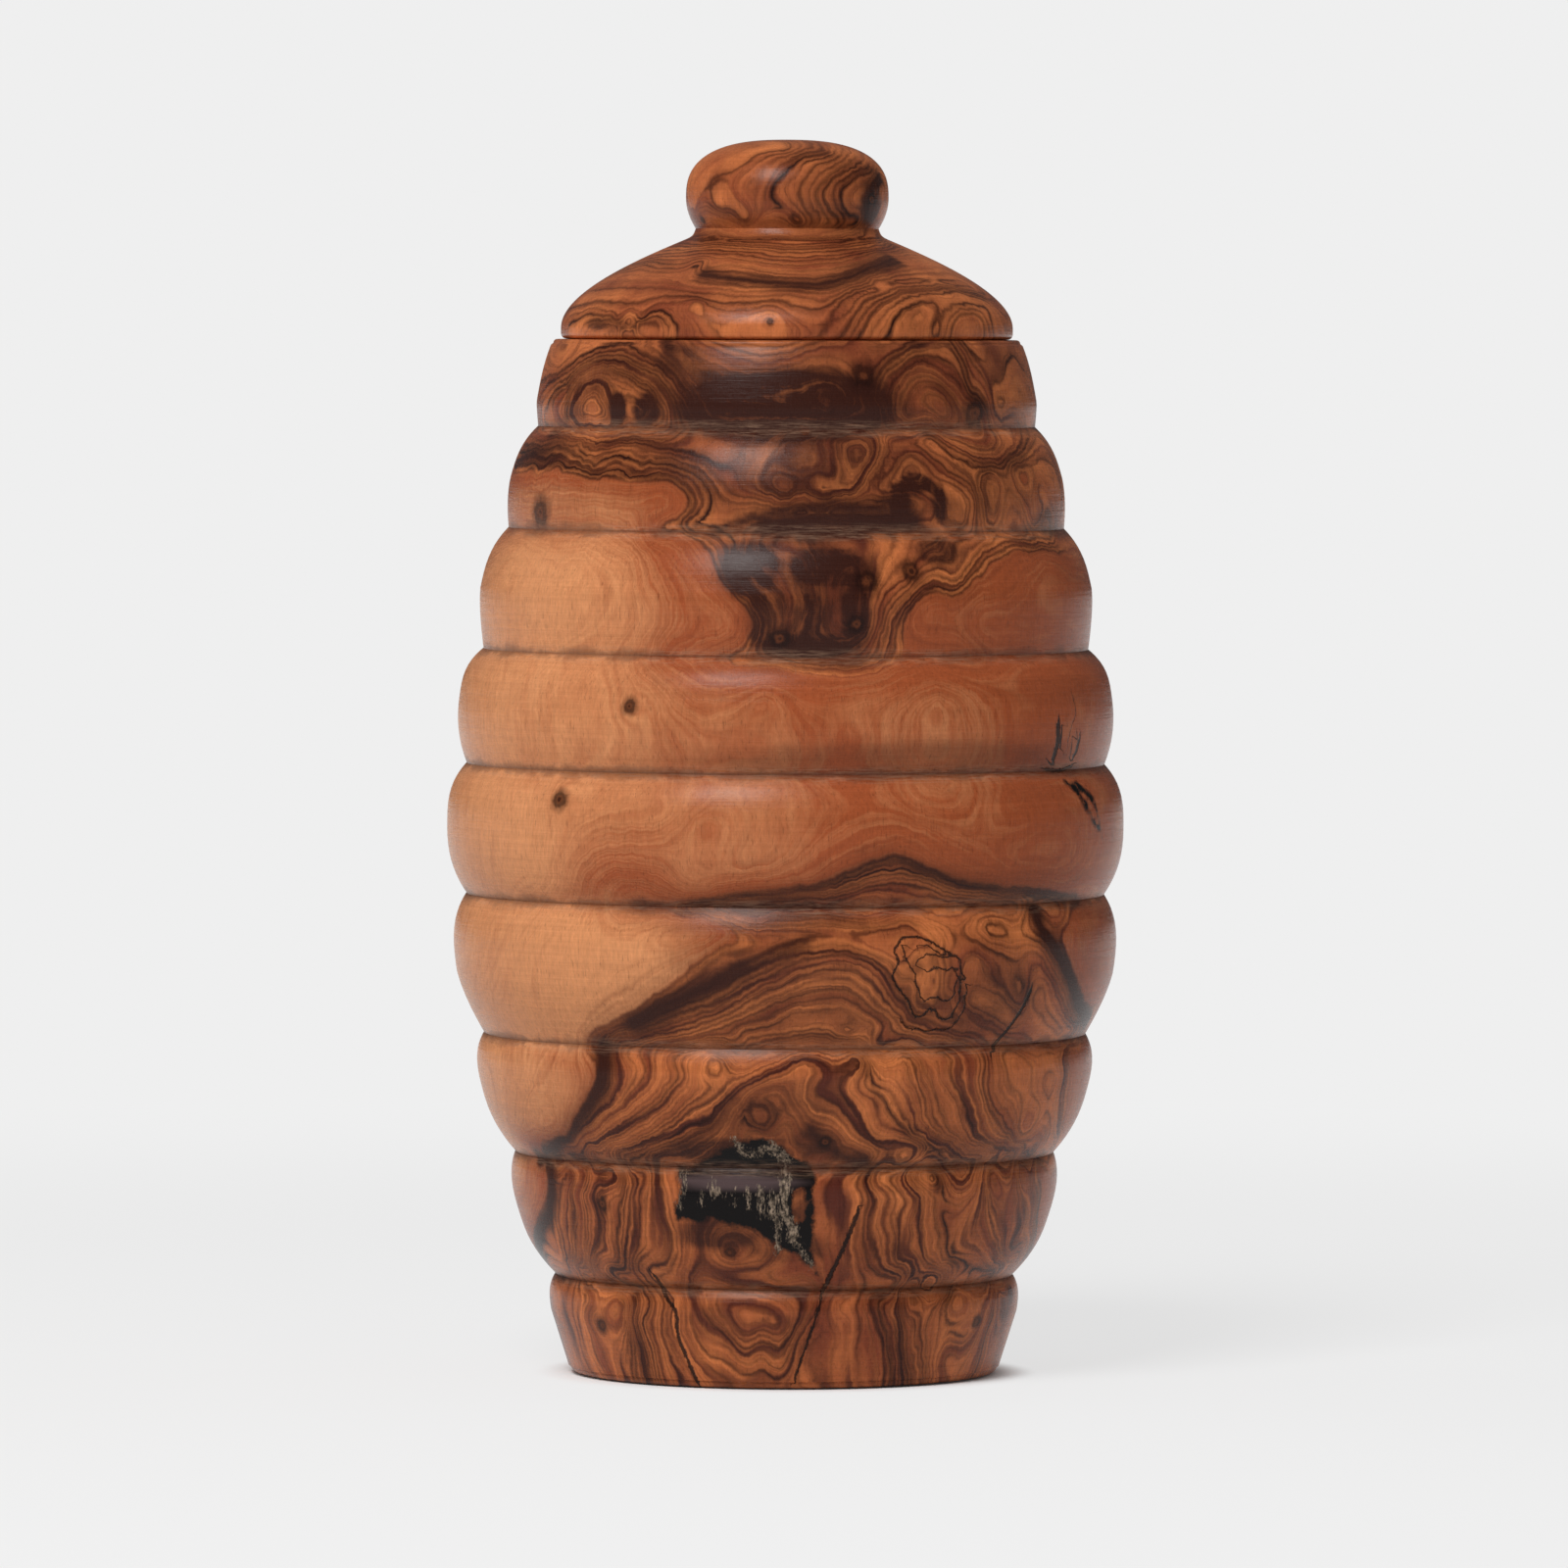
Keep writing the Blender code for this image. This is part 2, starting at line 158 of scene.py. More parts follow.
POT_STREAKS = tuple(Streak(*row) for row in (
    # The foot: left, the chevrons at its front, and right
    (34, 0.35, 0.8, ((-63, 12), (-63, 8), (-64, 4), (-63, 0))),
    (31, 0.4, 0.8, ((-57, 12), (-56, 8), (-57, 4), (-56, 0))),
    (26, 0.55, 0.9, ((-43, 12), (-41, 9), (-42, 5), (-44, 0))),
    (22, 0.8, 1.1, ((-39, 12), (-39, 8), (-38, 4), (-39, 0))),
    (18, 0.5, 0.8, ((-34, 12), (-35, 8), (-34, 4), (-35, 0))),
    (15, 0.4, 0.8, ((-30, 11), (-31, 7), (-29, 3), (-29, 0))),
    (9, 0.6, 0.8, ((-23, 9), (-20, 5), (-16, 4), (-10, 2.4), (-8, 1.4), (-5, 3), (-2, 1.4), (1, 3),
        (4, 7), (8, 11))),
    (7, 0.5, 0.7, ((-19, 10), (-15, 7.6), (-12, 5.8), (-9, 4.4), (-5, 5.6), (-1, 4), (2, 7),
        (5, 10.5))),
    (5, 0.4, 0.7, ((-16, 10.5), (-12, 8), (-9, 6.5), (-5, 7.6), (-1, 6), (1.5, 9))),
    (3, 0.25, 0.6, ((-11, 10.5), (-8, 8.6), (-5, 9.5), (-2, 8.4))),
    (11, 0.1, 0.8, ((10, 11), (12, 6), (12, 1))),
    (13, 0.15, 0.8, ((18, 12), (18, 6), (19, 1))),
    (16, 0.8, 1.2, ((24, 12), (24, 9), (27, 5), (29, 2), (30, 0))),
    (20, 0.7, 1.2, ((29, 12), (29, 9), (31, 5), (34, 2), (36, 0))),
    (24, 0.5, 0.9, ((34, 12.5), (34, 9), (36, 6), (38, 3), (41, 0))),
    (28, 0.75, 0.9, ((46, 12.6), (42.5, 10.5), (43.5, 8.5), (47, 7), (50.5, 6.3))),
    (29, 0.1, 0.8, ((50, 10.5), (57, 10.5))),
    (31, 0.4, 0.8, ((47, 4), (48, 2), (51, 0))),
    (36, 0.35, 0.8, ((64, 12), (62, 8), (61.5, 4), (62, 0))),
    (39, 0.2, 0.8, ((73, 12), (72, 6), (73, 0))),
    # The second bead up: left of the bark pocket, round it, and right of it
    (39, 0.95, 2.1, ((-63, 29.3), (-58, 28), (-57.5, 25), (-60.5, 22), (-66, 20), (-73, 18),
        (-81, 15.5))),
    (33, 0.5, 0.8, ((-51, 29), (-50, 26), (-51.5, 22), (-54, 18), (-60, 15))),
    (28, 0.45, 0.7, ((-46, 29), (-45.5, 25), (-47, 21), (-50, 17), (-56, 14.4))),
    (25, 0.55, 0.8, ((-41, 29), (-41, 25), (-43, 21), (-46, 18), (-50, 15.5), (-57, 13.8))),
    (21, 0.7, 0.9, ((-36, 29), (-35, 26), (-37.5, 22), (-39, 19), (-41, 16), (-47, 13.8))),
    (17, 0.65, 0.9, ((-31, 29), (-31, 25), (-33, 21), (-34, 18), (-37, 15.5), (-42, 13.6))),
    (13, 0.55, 0.9, ((-27, 28), (-26, 24), (-25, 20), (-26, 17), (-33, 14.6))),
    (9, 0, 1, ((-18, 27), (-8, 26), (0, 22))),
    (8, 0.3, 0.8, ((-21, 15.5), (-18, 17.5), (-15, 15.5), (-11, 14.6), (-5, 15.5), (-1, 14))),
    (6, 0, 1, ((-12, 17.8), (-5, 17.6))),
    (10, 0, 1, ((8.5, 27), (8.5, 24), (9, 20), (11, 17))),
    (14, 0.55, 0.8, ((17, 29), (17.5, 25), (17, 20), (20, 16), (28, 13.8))),
    (18, 0.5, 0.7, ((22, 29), (23, 25), (23, 20), (27, 16), (36, 13.8))),
    (22, 0.45, 0.7, ((27, 29), (29, 25), (30, 20), (33, 17), (42, 14.4))),
    (26, 0.9, 1.2, ((33.5, 29), (34.5, 25), (35.5, 22), (38, 19), (42, 16.6), (50, 15.2),
        (62, 14.1))),
    (32, 0.55, 0.8, ((48, 29), (46.5, 26), (49.5, 22), (55, 18.5), (60, 16.2), (68, 14.4))),
    (36, 0.3, 0.7, ((58, 29), (57.5, 26), (60, 22), (64, 18.5), (72, 15.5))),
    (40, 0.45, 1.6, ((69, 29), (68, 25), (71, 21), (77, 17))),
    # The third bead up: left, the eye in the middle, and right
    (39, 0.97, 2.2, ((-36, 44.8), (-35.2, 43), (-36.2, 40), (-41, 36.3), (-48, 33), (-56, 30.7),
        (-63, 29.9))),
    (31, 0.4, 0.7, ((-27, 44.8), (-25.5, 43), (-27, 41), (-33, 37), (-40, 34), (-50, 31),
        (-57, 30))),
    (25, 0.5, 0.7, ((-20, 44.8), (-19, 42), (-22, 39), (-28, 36), (-35, 33.5), (-43, 31),
        (-50, 30))),
    (20, 0.5, 0.7, ((-12, 44.4), (-10.5, 42), (-14, 39.5), (-20, 36.5), (-25, 34), (-33, 31.5),
        (-42, 30))),
    (15, 0.75, 1.2, ((-9.5, 38.6), (-12, 36), (-18, 33.4), (-25, 31.6), (-33, 30.2))),
    (12, 0, 1, ((-1, 41.6), (4, 42.6))),
    (10, 0.75, 1.6, ((5, 34.6), (8, 32.5), (12, 31), (17, 30))),
    (9, 0.85, 1, ((-7.4, 36.4), (-6.4, 37.8), (-4.4, 38.2), (-2.2, 37.4), (-1.8, 36.2), (-4, 35),
        (-6.4, 35.2), (-7.4, 36.4))),
    (11, 0, 1, ((-5, 36.6), (-4, 36.5))),
    (14, 0.45, 0.7, ((5, 40.5), (8, 38.6), (12, 36.2), (16, 33.6), (20, 31.5), (26, 30))),
    (18, 0.75, 1.1, ((15, 44.8), (15.2, 42), (18, 38.5), (22, 35.5), (27, 33), (33, 31),
        (39, 29.9))),
    (23, 0.5, 0.7, ((23, 44.6), (25, 41), (27, 37.5), (31, 34), (37, 31.8), (46, 30.2))),
    (28, 0.6, 0.8, ((31, 44.8), (31.5, 42), (34, 39), (36.5, 36), (40, 33.4), (47, 31.2),
        (56, 30))),
    (33, 0.6, 0.9, ((40, 43.6), (39.2, 40), (42, 37), (47, 34), (53.5, 31.7), (63, 30.2))),
    (36, 0.4, 0.7, ((59, 44), (58, 40), (60.5, 36), (64.5, 33), (71, 30.8))),
    (39, 0.35, 0.8, ((67, 44), (65, 40), (67, 36), (72, 32.6))),
    (42, 0.1, 1, ((78, 44), (76, 39), (79, 34))),
    # The fourth bead up: the heartwood's edge, the arch under it, and the right
    (38, 0.9, 1.2, ((-37.6, 45.2), (-33, 46.8), (-28, 48.4))),
    (38, 0.85, 2.4, ((-28, 48.4), (-20, 51), (-12, 54), (-7, 56.2))),
    (38, 0.65, 1.9, ((-7, 56.2), (-2, 58), (3, 59.4))),
    (38, 0.5, 1.1, ((3, 59.4), (9, 60.4), (15, 60.8), (22, 61.2))),
    (41, 0.35, 1.4, ((-39, 46.6), (-29, 50.2), (-22, 53.2), (-15, 57.2), (-8.5, 60.2), (-12, 62),
        (-26, 63.2))),
    (36, 0.45, 1, ((-2, 62.4), (6, 62.6), (14, 61.6))),
    (35.5, 0.6, 0.8, ((-34, 45.5), (-22, 48.4), (-12, 51.2), (-4, 54.6), (3, 57.4), (10, 58.2),
        (16, 56.6), (20, 52.6), (24, 49.6), (30, 48), (40, 46.6), (46, 46))),
    (33.2, 0.55, 0.7, ((-31, 45.5), (-20, 47.5), (-10, 50), (-2, 53.2), (5, 55.8), (12, 55.8),
        (17, 52.6), (21, 49.2), (27, 47.3), (36, 46))),
    (30.8, 0.55, 0.7, ((-27, 45.4), (-15, 47), (-5, 49.6), (2, 52.2), (10, 53), (15, 50.6),
        (20, 47.6), (26, 46))),
    (28.8, 0.6, 0.7, ((-20, 45.4), (-8, 47), (0, 48.8), (8, 49.6), (14, 48), (20, 45.8))),
    (27.4, 0.6, 0.8, ((-10, 45.4), (-2, 46.7), (6, 47.3), (13, 46.2), (16, 45.4))),
    (35, 0.85, 1, ((31, 59.6), (36, 58.2), (42, 56.2), (45.5, 54), (47.5, 51.5))),
    (33.6, 0.5, 0.6, ((33, 55.5), (38, 53.4), (43, 51.2), (47, 49.4))),
    (32.6, 0.45, 0.6, ((35, 51), (40, 49.5), (46, 48))),
    (37, 0, 1, ((37, 61.5), (45, 60))),
    (39, 0.9, 2, ((49.5, 62.8), (50, 60.2), (54, 57.6), (58, 54.4), (63, 51.2), (69, 49),
        (77, 47.2))),
    (35, 0.45, 0.7, ((49, 57), (53, 54), (58, 51), (63, 48.6), (71, 46.4))),
    (32, 0.4, 0.7, ((48, 51.5), (53, 49.4), (60, 47.4), (67, 46))),
    (42, 0, 1, ((62, 60), (70, 56), (80, 52))),
    # The fifth bead up: the hill along its bottom
    (40, 0.35, 0.8, ((-27, 63.6), (-16, 64.4))),
    (40, 0.75, 1.4, ((-16, 64.4), (-5, 65.6), (5, 66.6), (10, 68.2), (15, 70), (19, 70.4),
        (24, 68.8), (32, 67), (40, 66), (50, 65.2), (62, 64.2))),
    (38, 0.85, 0.8, ((9, 66.6), (13, 68), (17, 68.9), (22, 68.2), (28, 67), (34, 65.9), (45, 65),
        (56, 64))),
    (35, 0.6, 0.8, ((-16, 63.9), (0, 64.6), (8, 65.2), (14, 66.6), (20, 66.8), (26, 65.8),
        (34, 64.6), (45, 63.9))),
    # The sapwood, where no line is drawn
    (68, 0, 1, ((-84, 88), (-80, 75), (-82, 60))),
    (63, 0, 1, ((-62, 91), (-60, 76), (-66, 57))),
    (57, 0, 1, ((-44, 92), (-40, 78), (-45, 67))),
    (53, 0, 1, ((-24, 91), (-19, 76))),
    (50, 0, 1, ((-4, 91), (0, 75))),
    (49, 0, 1, ((-15, 74), (-13, 69))),
    (47, 0, 1, ((12, 90), (13, 76))),
    (52, 0, 1, ((27, 90), (27, 83))),
    (45, 0, 1, ((43, 91), (41, 76))),
    (44, 0, 1, ((66, 90), (66, 74))),
    (43, 0, 1, ((78, 91), (79, 80), (78, 68))),
    (55, 0, 1, ((-62, 48), (-58, 41), (-68, 33))),
    (48, 0, 1, ((-44, 55), (-48, 41), (-59, 34))),
    (51, 0, 1, ((-70, 27), (-76, 24))),
    (63, 0, 1, ((-66, 108), (-66, 100))),
    (58, 0, 1, ((-44, 108), (-42, 101))),
    (53, 0, 1, ((-30, 108), (-27, 101))),
    # The seventh bead up: the heartwood that hangs into it, left and right
    (45, 0.3, 0.6, ((-28, 111), (-22, 108.6), (-17.5, 105), (-15, 101), (-17, 98), (-22, 96.6))),
    (42, 0.45, 0.7, ((-24, 111.8), (-19, 110.4), (-15, 107.6), (-12.5, 104.8), (-9, 102.4),
        (-7.5, 100), (-9, 97.8), (-14, 96.4))),
    (40, 0.7, 0.8, ((-20, 111.9), (-15, 110), (-12.6, 107), (-11, 104.6), (-7, 102.4), (-5.4, 100),
        (-6.5, 97.8), (-10, 96.4))),
    (38, 0.6, 0.8, ((-15.5, 112), (-11.5, 110.4), (-10.5, 107), (-9, 105), (-5, 103), (-3, 100),
        (-4, 97.5))),
    (33, 0, 1, ((2, 109), (4, 103), (4, 98))),
    (31, 0, 1, ((11, 109), (12, 104))),
    (35, 0.45, 0.7, ((38, 111.6), (34, 109.6), (31.5, 108.6), (27, 109.2), (22, 108), (18, 104),
        (16.5, 99), (14, 96.4))),
    (37, 0.5, 0.7, ((66, 111.2), (50, 111.2), (42, 110.3), (37, 107.8), (33, 105.4), (30, 107),
        (26.5, 107.2), (22.5, 105), (19, 102), (18, 98.5), (17, 96.4))),
    (39, 0.6, 0.7, ((68, 110.2), (56, 110.4), (46, 110.2), (40, 108.6), (36, 106), (32.6, 104),
        (29, 105.6), (25.5, 105.6), (23, 103.5), (20.6, 100.5), (20, 97.5))),
    (41, 0.75, 1.1, ((70, 108.6), (60, 109.6), (49, 109), (41, 106.6), (35.5, 104), (32, 103),
        (28, 104.6), (25, 103), (22.6, 101), (23.4, 98.5), (28, 97), (36, 96.4))),
    (45, 0, 1, ((74, 103), (56, 102), (40, 100))),
    # The eighth bead up: the hook on the left, the middle, and the swirls on the right
    (39, 0.95, 1.2, ((-82, 120.6), (-66, 121), (-57, 121), (-50, 120.4), (-45, 119.6), (-38, 120),
        (-30, 119.6), (-22.5, 119.2), (-19.5, 117.4), (-18.8, 115), (-21, 113.6), (-25, 112.6))),
    (37, 0.9, 1.2, ((-82, 122.6), (-66, 122.6), (-58, 123), (-50, 122), (-45, 121), (-40, 122),
        (-32, 121.4), (-25, 121), (-18.5, 120), (-15, 117), (-16, 114.5), (-20.5, 112.8))),
    (34, 0.8, 1.1, ((-66, 124.6), (-56, 124.6), (-48, 123.4), (-41, 123.8), (-35, 124), (-28, 123),
        (-20, 122.6), (-13, 121))),
    (45, 0, 1, ((-74, 116), (-55, 116.4), (-38, 116), (-26, 115.6))),
    (34, 0.15, 0.8, ((-9, 124), (-8, 118))),
    (32, 0.2, 0.8, ((1, 124), (2, 120), (0, 116.8))),
    (30, 0.3, 0.8, ((10, 124.4), (11, 120), (8, 117.4))),
    (31, 0.35, 0.7, ((20, 124), (18.5, 120.5), (14, 117.6), (8, 116.4))),
    (37, 0.9, 1.3, ((-14, 112.6), (-8, 114), (0, 115), (9, 116), (17, 115.6), (24, 116.4))),
    (35, 0.95, 2.2, ((-4, 113), (6, 113.8), (16, 114), (26, 113.8))),
    (33, 0.45, 0.7, ((19.5, 117.5), (23, 120.6), (26.5, 122.6), (29.5, 121.2), (33, 118.8),
        (38, 118.2), (40, 115.4), (38.6, 112.6))),
    (35, 0.55, 0.7, ((18, 118.6), (22.5, 122), (27, 124.2), (31.5, 122.4), (36, 120), (41, 119),
        (43, 116.4), (42, 112.8))),
    (36, 0.75, 0.8, ((33, 124.8), (38, 122.2), (45, 120.6), (52, 121), (60, 122.4), (68, 124.4))),
    (38, 0.6, 0.7, ((47, 120.2), (43.6, 118.8), (45, 116.8), (44.4, 114.4), (46.4, 112.8))),
    (39, 0.55, 0.9, ((56, 120.6), (64, 121.4), (70, 122), (78, 121))),
    (37, 0, 1, ((52, 118), (50, 114.5))),
    (38, 0.45, 0.9, ((64, 118), (66, 115), (62, 112.9))),
    # The rim's bead: the eye on the left, the middle, and the eye on the right
    (20, 0.5, 0.8, ((-54, 127), (-53.4, 129.4), (-50, 131), (-46.8, 129.4), (-46, 127))),
    (24, 0.6, 1, ((-57, 126.6), (-56.4, 130), (-51, 132), (-45.4, 131), (-43, 128.6),
        (-43, 126.4))),
    (28, 0.75, 1.2, ((-61, 126.4), (-60, 130.4), (-54, 133), (-46, 133.4), (-38, 132.4),
        (-32, 130.4), (-29.4, 127))),
    (25, 0, 1, ((-37, 129), (-36, 127))),
    (32, 0.8, 1.2, ((-74, 126.4), (-68, 130), (-58, 132.8), (-50, 134.6), (-41, 134.4),
        (-33, 132.8), (-27, 130.2), (-24.6, 127))),
    (35, 0.8, 1.2, ((-82, 131.4), (-70, 132), (-59, 134.6), (-50, 136.2), (-42, 136.4), (-34, 135),
        (-26.5, 132.4), (-21.6, 129.4), (-19.6, 126.6))),
    (37, 0.7, 1.4, ((-31, 137), (-25, 134.2), (-17, 132.4), (-8, 131.8), (4, 132.2), (12, 133))),
    (35, 0.15, 0.8, ((-23, 136.8), (-16, 134.6), (-9, 133.6), (0, 134), (8, 135), (16, 136.6))),
    (33, 0.4, 0.7, ((-17, 136.9), (-10, 135.6), (-3, 135.4), (3, 136.2), (8, 137))),
    (37, 0, 1, ((-12, 128), (0, 128), (12, 128))),
    (34, 0.7, 1.2, ((20.5, 126.4), (20, 130), (22.4, 133.4), (28, 136), (34, 137))),
    (31, 0.6, 0.9, ((24, 126.8), (23, 130), (26, 133), (32, 135), (40, 134.6), (44, 131.6))),
    (28, 0.4, 0.7, ((28.5, 127), (27, 130), (31, 132.4), (37, 132), (41, 129.6), (43, 127))),
    (24, 0, 1, ((35, 129.4), (38, 128))),
    (33, 0.7, 1.2, ((44, 137), (46.6, 133.6), (46, 131), (49.5, 130), (52.4, 127.6))),
    (36, 0.8, 1.2, ((48, 137), (53, 133.2), (58, 132.4), (64, 134.4), (70, 136), (76, 134))),
    (37, 0.4, 0.9, ((56, 128), (64, 129.6), (72, 130))),
    # The back: arches from the right side round to the sapwood on the left
    (42, 0, 1, ((92, 92), (95, 76), (92, 58))),
    (40, 0.8, 1.8, ((88, 44), (100, 52), (112, 63), (118, 76), (113, 88), (104, 99), (88, 108))),
    (35, 0.5, 0.8, ((96, 40), (110, 49), (122, 61), (127, 76), (121, 90), (110, 103), (94, 114))),
    (29, 0.5, 0.8, ((104, 34), (120, 45), (131, 60), (135, 76), (130, 91), (118, 107), (100, 121))),
    (23, 0.6, 0.9, ((112, 27), (129, 41), (140, 58), (143, 76), (139, 92), (127, 111), (108, 129))),
    (17, 0.5, 0.8, ((120, 18), (138, 36), (149, 56), (152, 76), (148, 94), (136, 115), (118, 136))),
    (11, 0.6, 0.9, ((130, 6), (148, 30), (159, 54), (162, 76), (158, 96), (146, 119), (132, 137))),
    (7, 0, 1, ((172, 60), (174, 84), (172, 104))),
    (12, 0.55, 0.9, ((150, 4), (164, 26), (178, 40), (-172, 56), (-166, 76), (-170, 98),
        (-178, 116), (170, 134))),
    (18, 0.55, 0.9, ((168, 4), (-178, 24), (-166, 38), (-158, 56), (-154, 76), (-157, 98),
        (-166, 118), (-176, 136))),
    (24, 0.5, 0.8, ((-172, 4), (-162, 22), (-152, 36), (-146, 56), (-143, 76), (-146, 99),
        (-154, 120), (-164, 136))),
    (30, 0.6, 0.9, ((-156, 4), (-148, 20), (-141, 35), (-136, 56), (-133, 76), (-135, 99),
        (-142, 119), (-150, 136))),
    (36, 0.5, 0.8, ((-138, 4), (-134, 19), (-130, 34), (-127, 55), (-124, 76), (-126, 98),
        (-130, 117), (-134, 136))),
    (40, 0.7, 1.5, ((-122, 4), (-124, 14), (-116, 24), (-120, 34), (-111, 45), (-115, 56),
        (-107, 68), (-113, 80), (-108, 93), (-115, 104), (-111, 112), (-103, 118), (-94, 120.6))),
    (50, 0, 1, ((-100, 20), (-101, 34), (-100, 55))),
    (54, 0, 1, ((-101, 76), (-102, 96), (-98, 108))),
    (36, 0.4, 0.8, ((-92, 11), (-80, 9), (-74, 3))),
    (32, 0.3, 0.8, ((-104, 10), (-92, 4))),
    (36, 0.5, 0.8, ((-98, 134), (-112, 131), (-122, 124))),
    (36, 0.4, 0.8, ((86, 10), (98, 14), (104, 22))),
    (35, 0.4, 0.8, ((84, 126), (92, 132), (100, 136))),
))

# The dark stains of the pot's heartwood. The two thin ovals near 82 mm, along the bottom of the
# sixth bead up, are painted shade where that bead turns under into its crease.
POT_STAINS_AND_SHADE = tuple(Patch(*row) for row in (
    (0, 128.6, 19, 6, 0.92), (-16, 131, 6, 3.5, 0.5), (6, 131, 38, 9, 0.40),
    (-26, 134.4, 4.5, 2.8, 0.7), (-19, 131.4, 5.5, 3, 0.7), (14, 129, 9, 3.4, 0.6),
    (60, 131, 12, 6, 0.3), (3.4, 24.4, 2, 2.8, 0.6), (59, 80.9, 5, 1, 0.9), (56, 91.4, 12, 2, 0.35),
    (-42, 128.2, 1.9, 2.6, 0.95), (-33.5, 128, 2.6, 2.8, 0.9), (-30, 129.6, 3, 2.4, 0.6),
    (-7, 107.6, 5, 4.4, 0.95), (8, 107.8, 6.5, 3.4, 0.9), (-5, 101.6, 2.4, 5, 0.8),
    (4.8, 101.5, 1.8, 5, 0.85), (13, 101.5, 2.4, 5.5, 0.9), (4, 97.6, 8, 1.9, 0.95),
    (4, 102.5, 9, 7, 0.72), (13, 107.5, 4, 3.5, 0.6), (6, 112.4, 9, 1.8, 0.7),
    (23.6, 116.4, 1.9, 3, 0.95), (27.4, 118.6, 3, 1.7, 1), (32.8, 116, 1.5, 3, 0.9),
    (31, 109.8, 4.4, 2.2, 0.75), (37, 114, 2, 4, 0.5), (4, 119.5, 22, 7, 0.5),
    (10, 113.6, 12, 1.7, 0.75), (-2, 112.8, 12, 1, 0.6), (8, 120.5, 8, 5, 0.55),
    (4, 95.2, 10, 1.3, 0.5), (0, 52, 16, 6, 0.38), (40, 51.5, 8, 6, 0.5), (-9, 60.6, 11, 1.8, 0.45),
    (-31, 49.4, 6, 2, 0.35), (-22, 52.8, 7, 2.4, 0.4), (-13, 57, 8, 3, 0.5),
    (-42, 116, 14, 3.4, 0.22), (15, 121, 6, 3, 0.35), (-67, 122.5, 9, 2.2, 0.5),
    (70, 113.5, 5, 2.6, 0.6), (50, 119, 10, 6, 0.5), (72, 129, 5, 2, 0.4), (0, 62, 9, 2.4, 0.4),
    (16, 70.6, 5, 1.8, 0.45), (24, 82.8, 34, 2.8, 0.75), (-6, 81.8, 22, 1.4, 0.4),
    (44, 78.6, 14, 1.6, 0.3), (50, 66.5, 12, 2.4, 0.35), (5, 64.3, 30, 1, 0.5),
    (68, 57, 7, 4, 0.35), (-11, 31.6, 9, 2.2, 0.75), (6, 33, 4, 2.5, 0.6), (-2, 37, 10, 6, 0.42),
    (-14, 20.8, 7, 2.6, 0.75), (1, 19, 6, 2.4, 0.55), (-22, 29.8, 22, 0.8, 0.5),
    (25, 29.8, 20, 0.6, 0.35), (-52, 8, 2.6, 2.6, 0.35), (-40, 3, 2.5, 4, 0.3),
    (143, 92, 6, 10, 0.45), (-160, 40, 7, 6, 0.5), (-140, 116, 9, 5, 0.5), (160, 20, 6, 5, 0.4),
    (110, 122, 9, 5, 0.5), (-100, 128, 8, 3, 0.4),
))

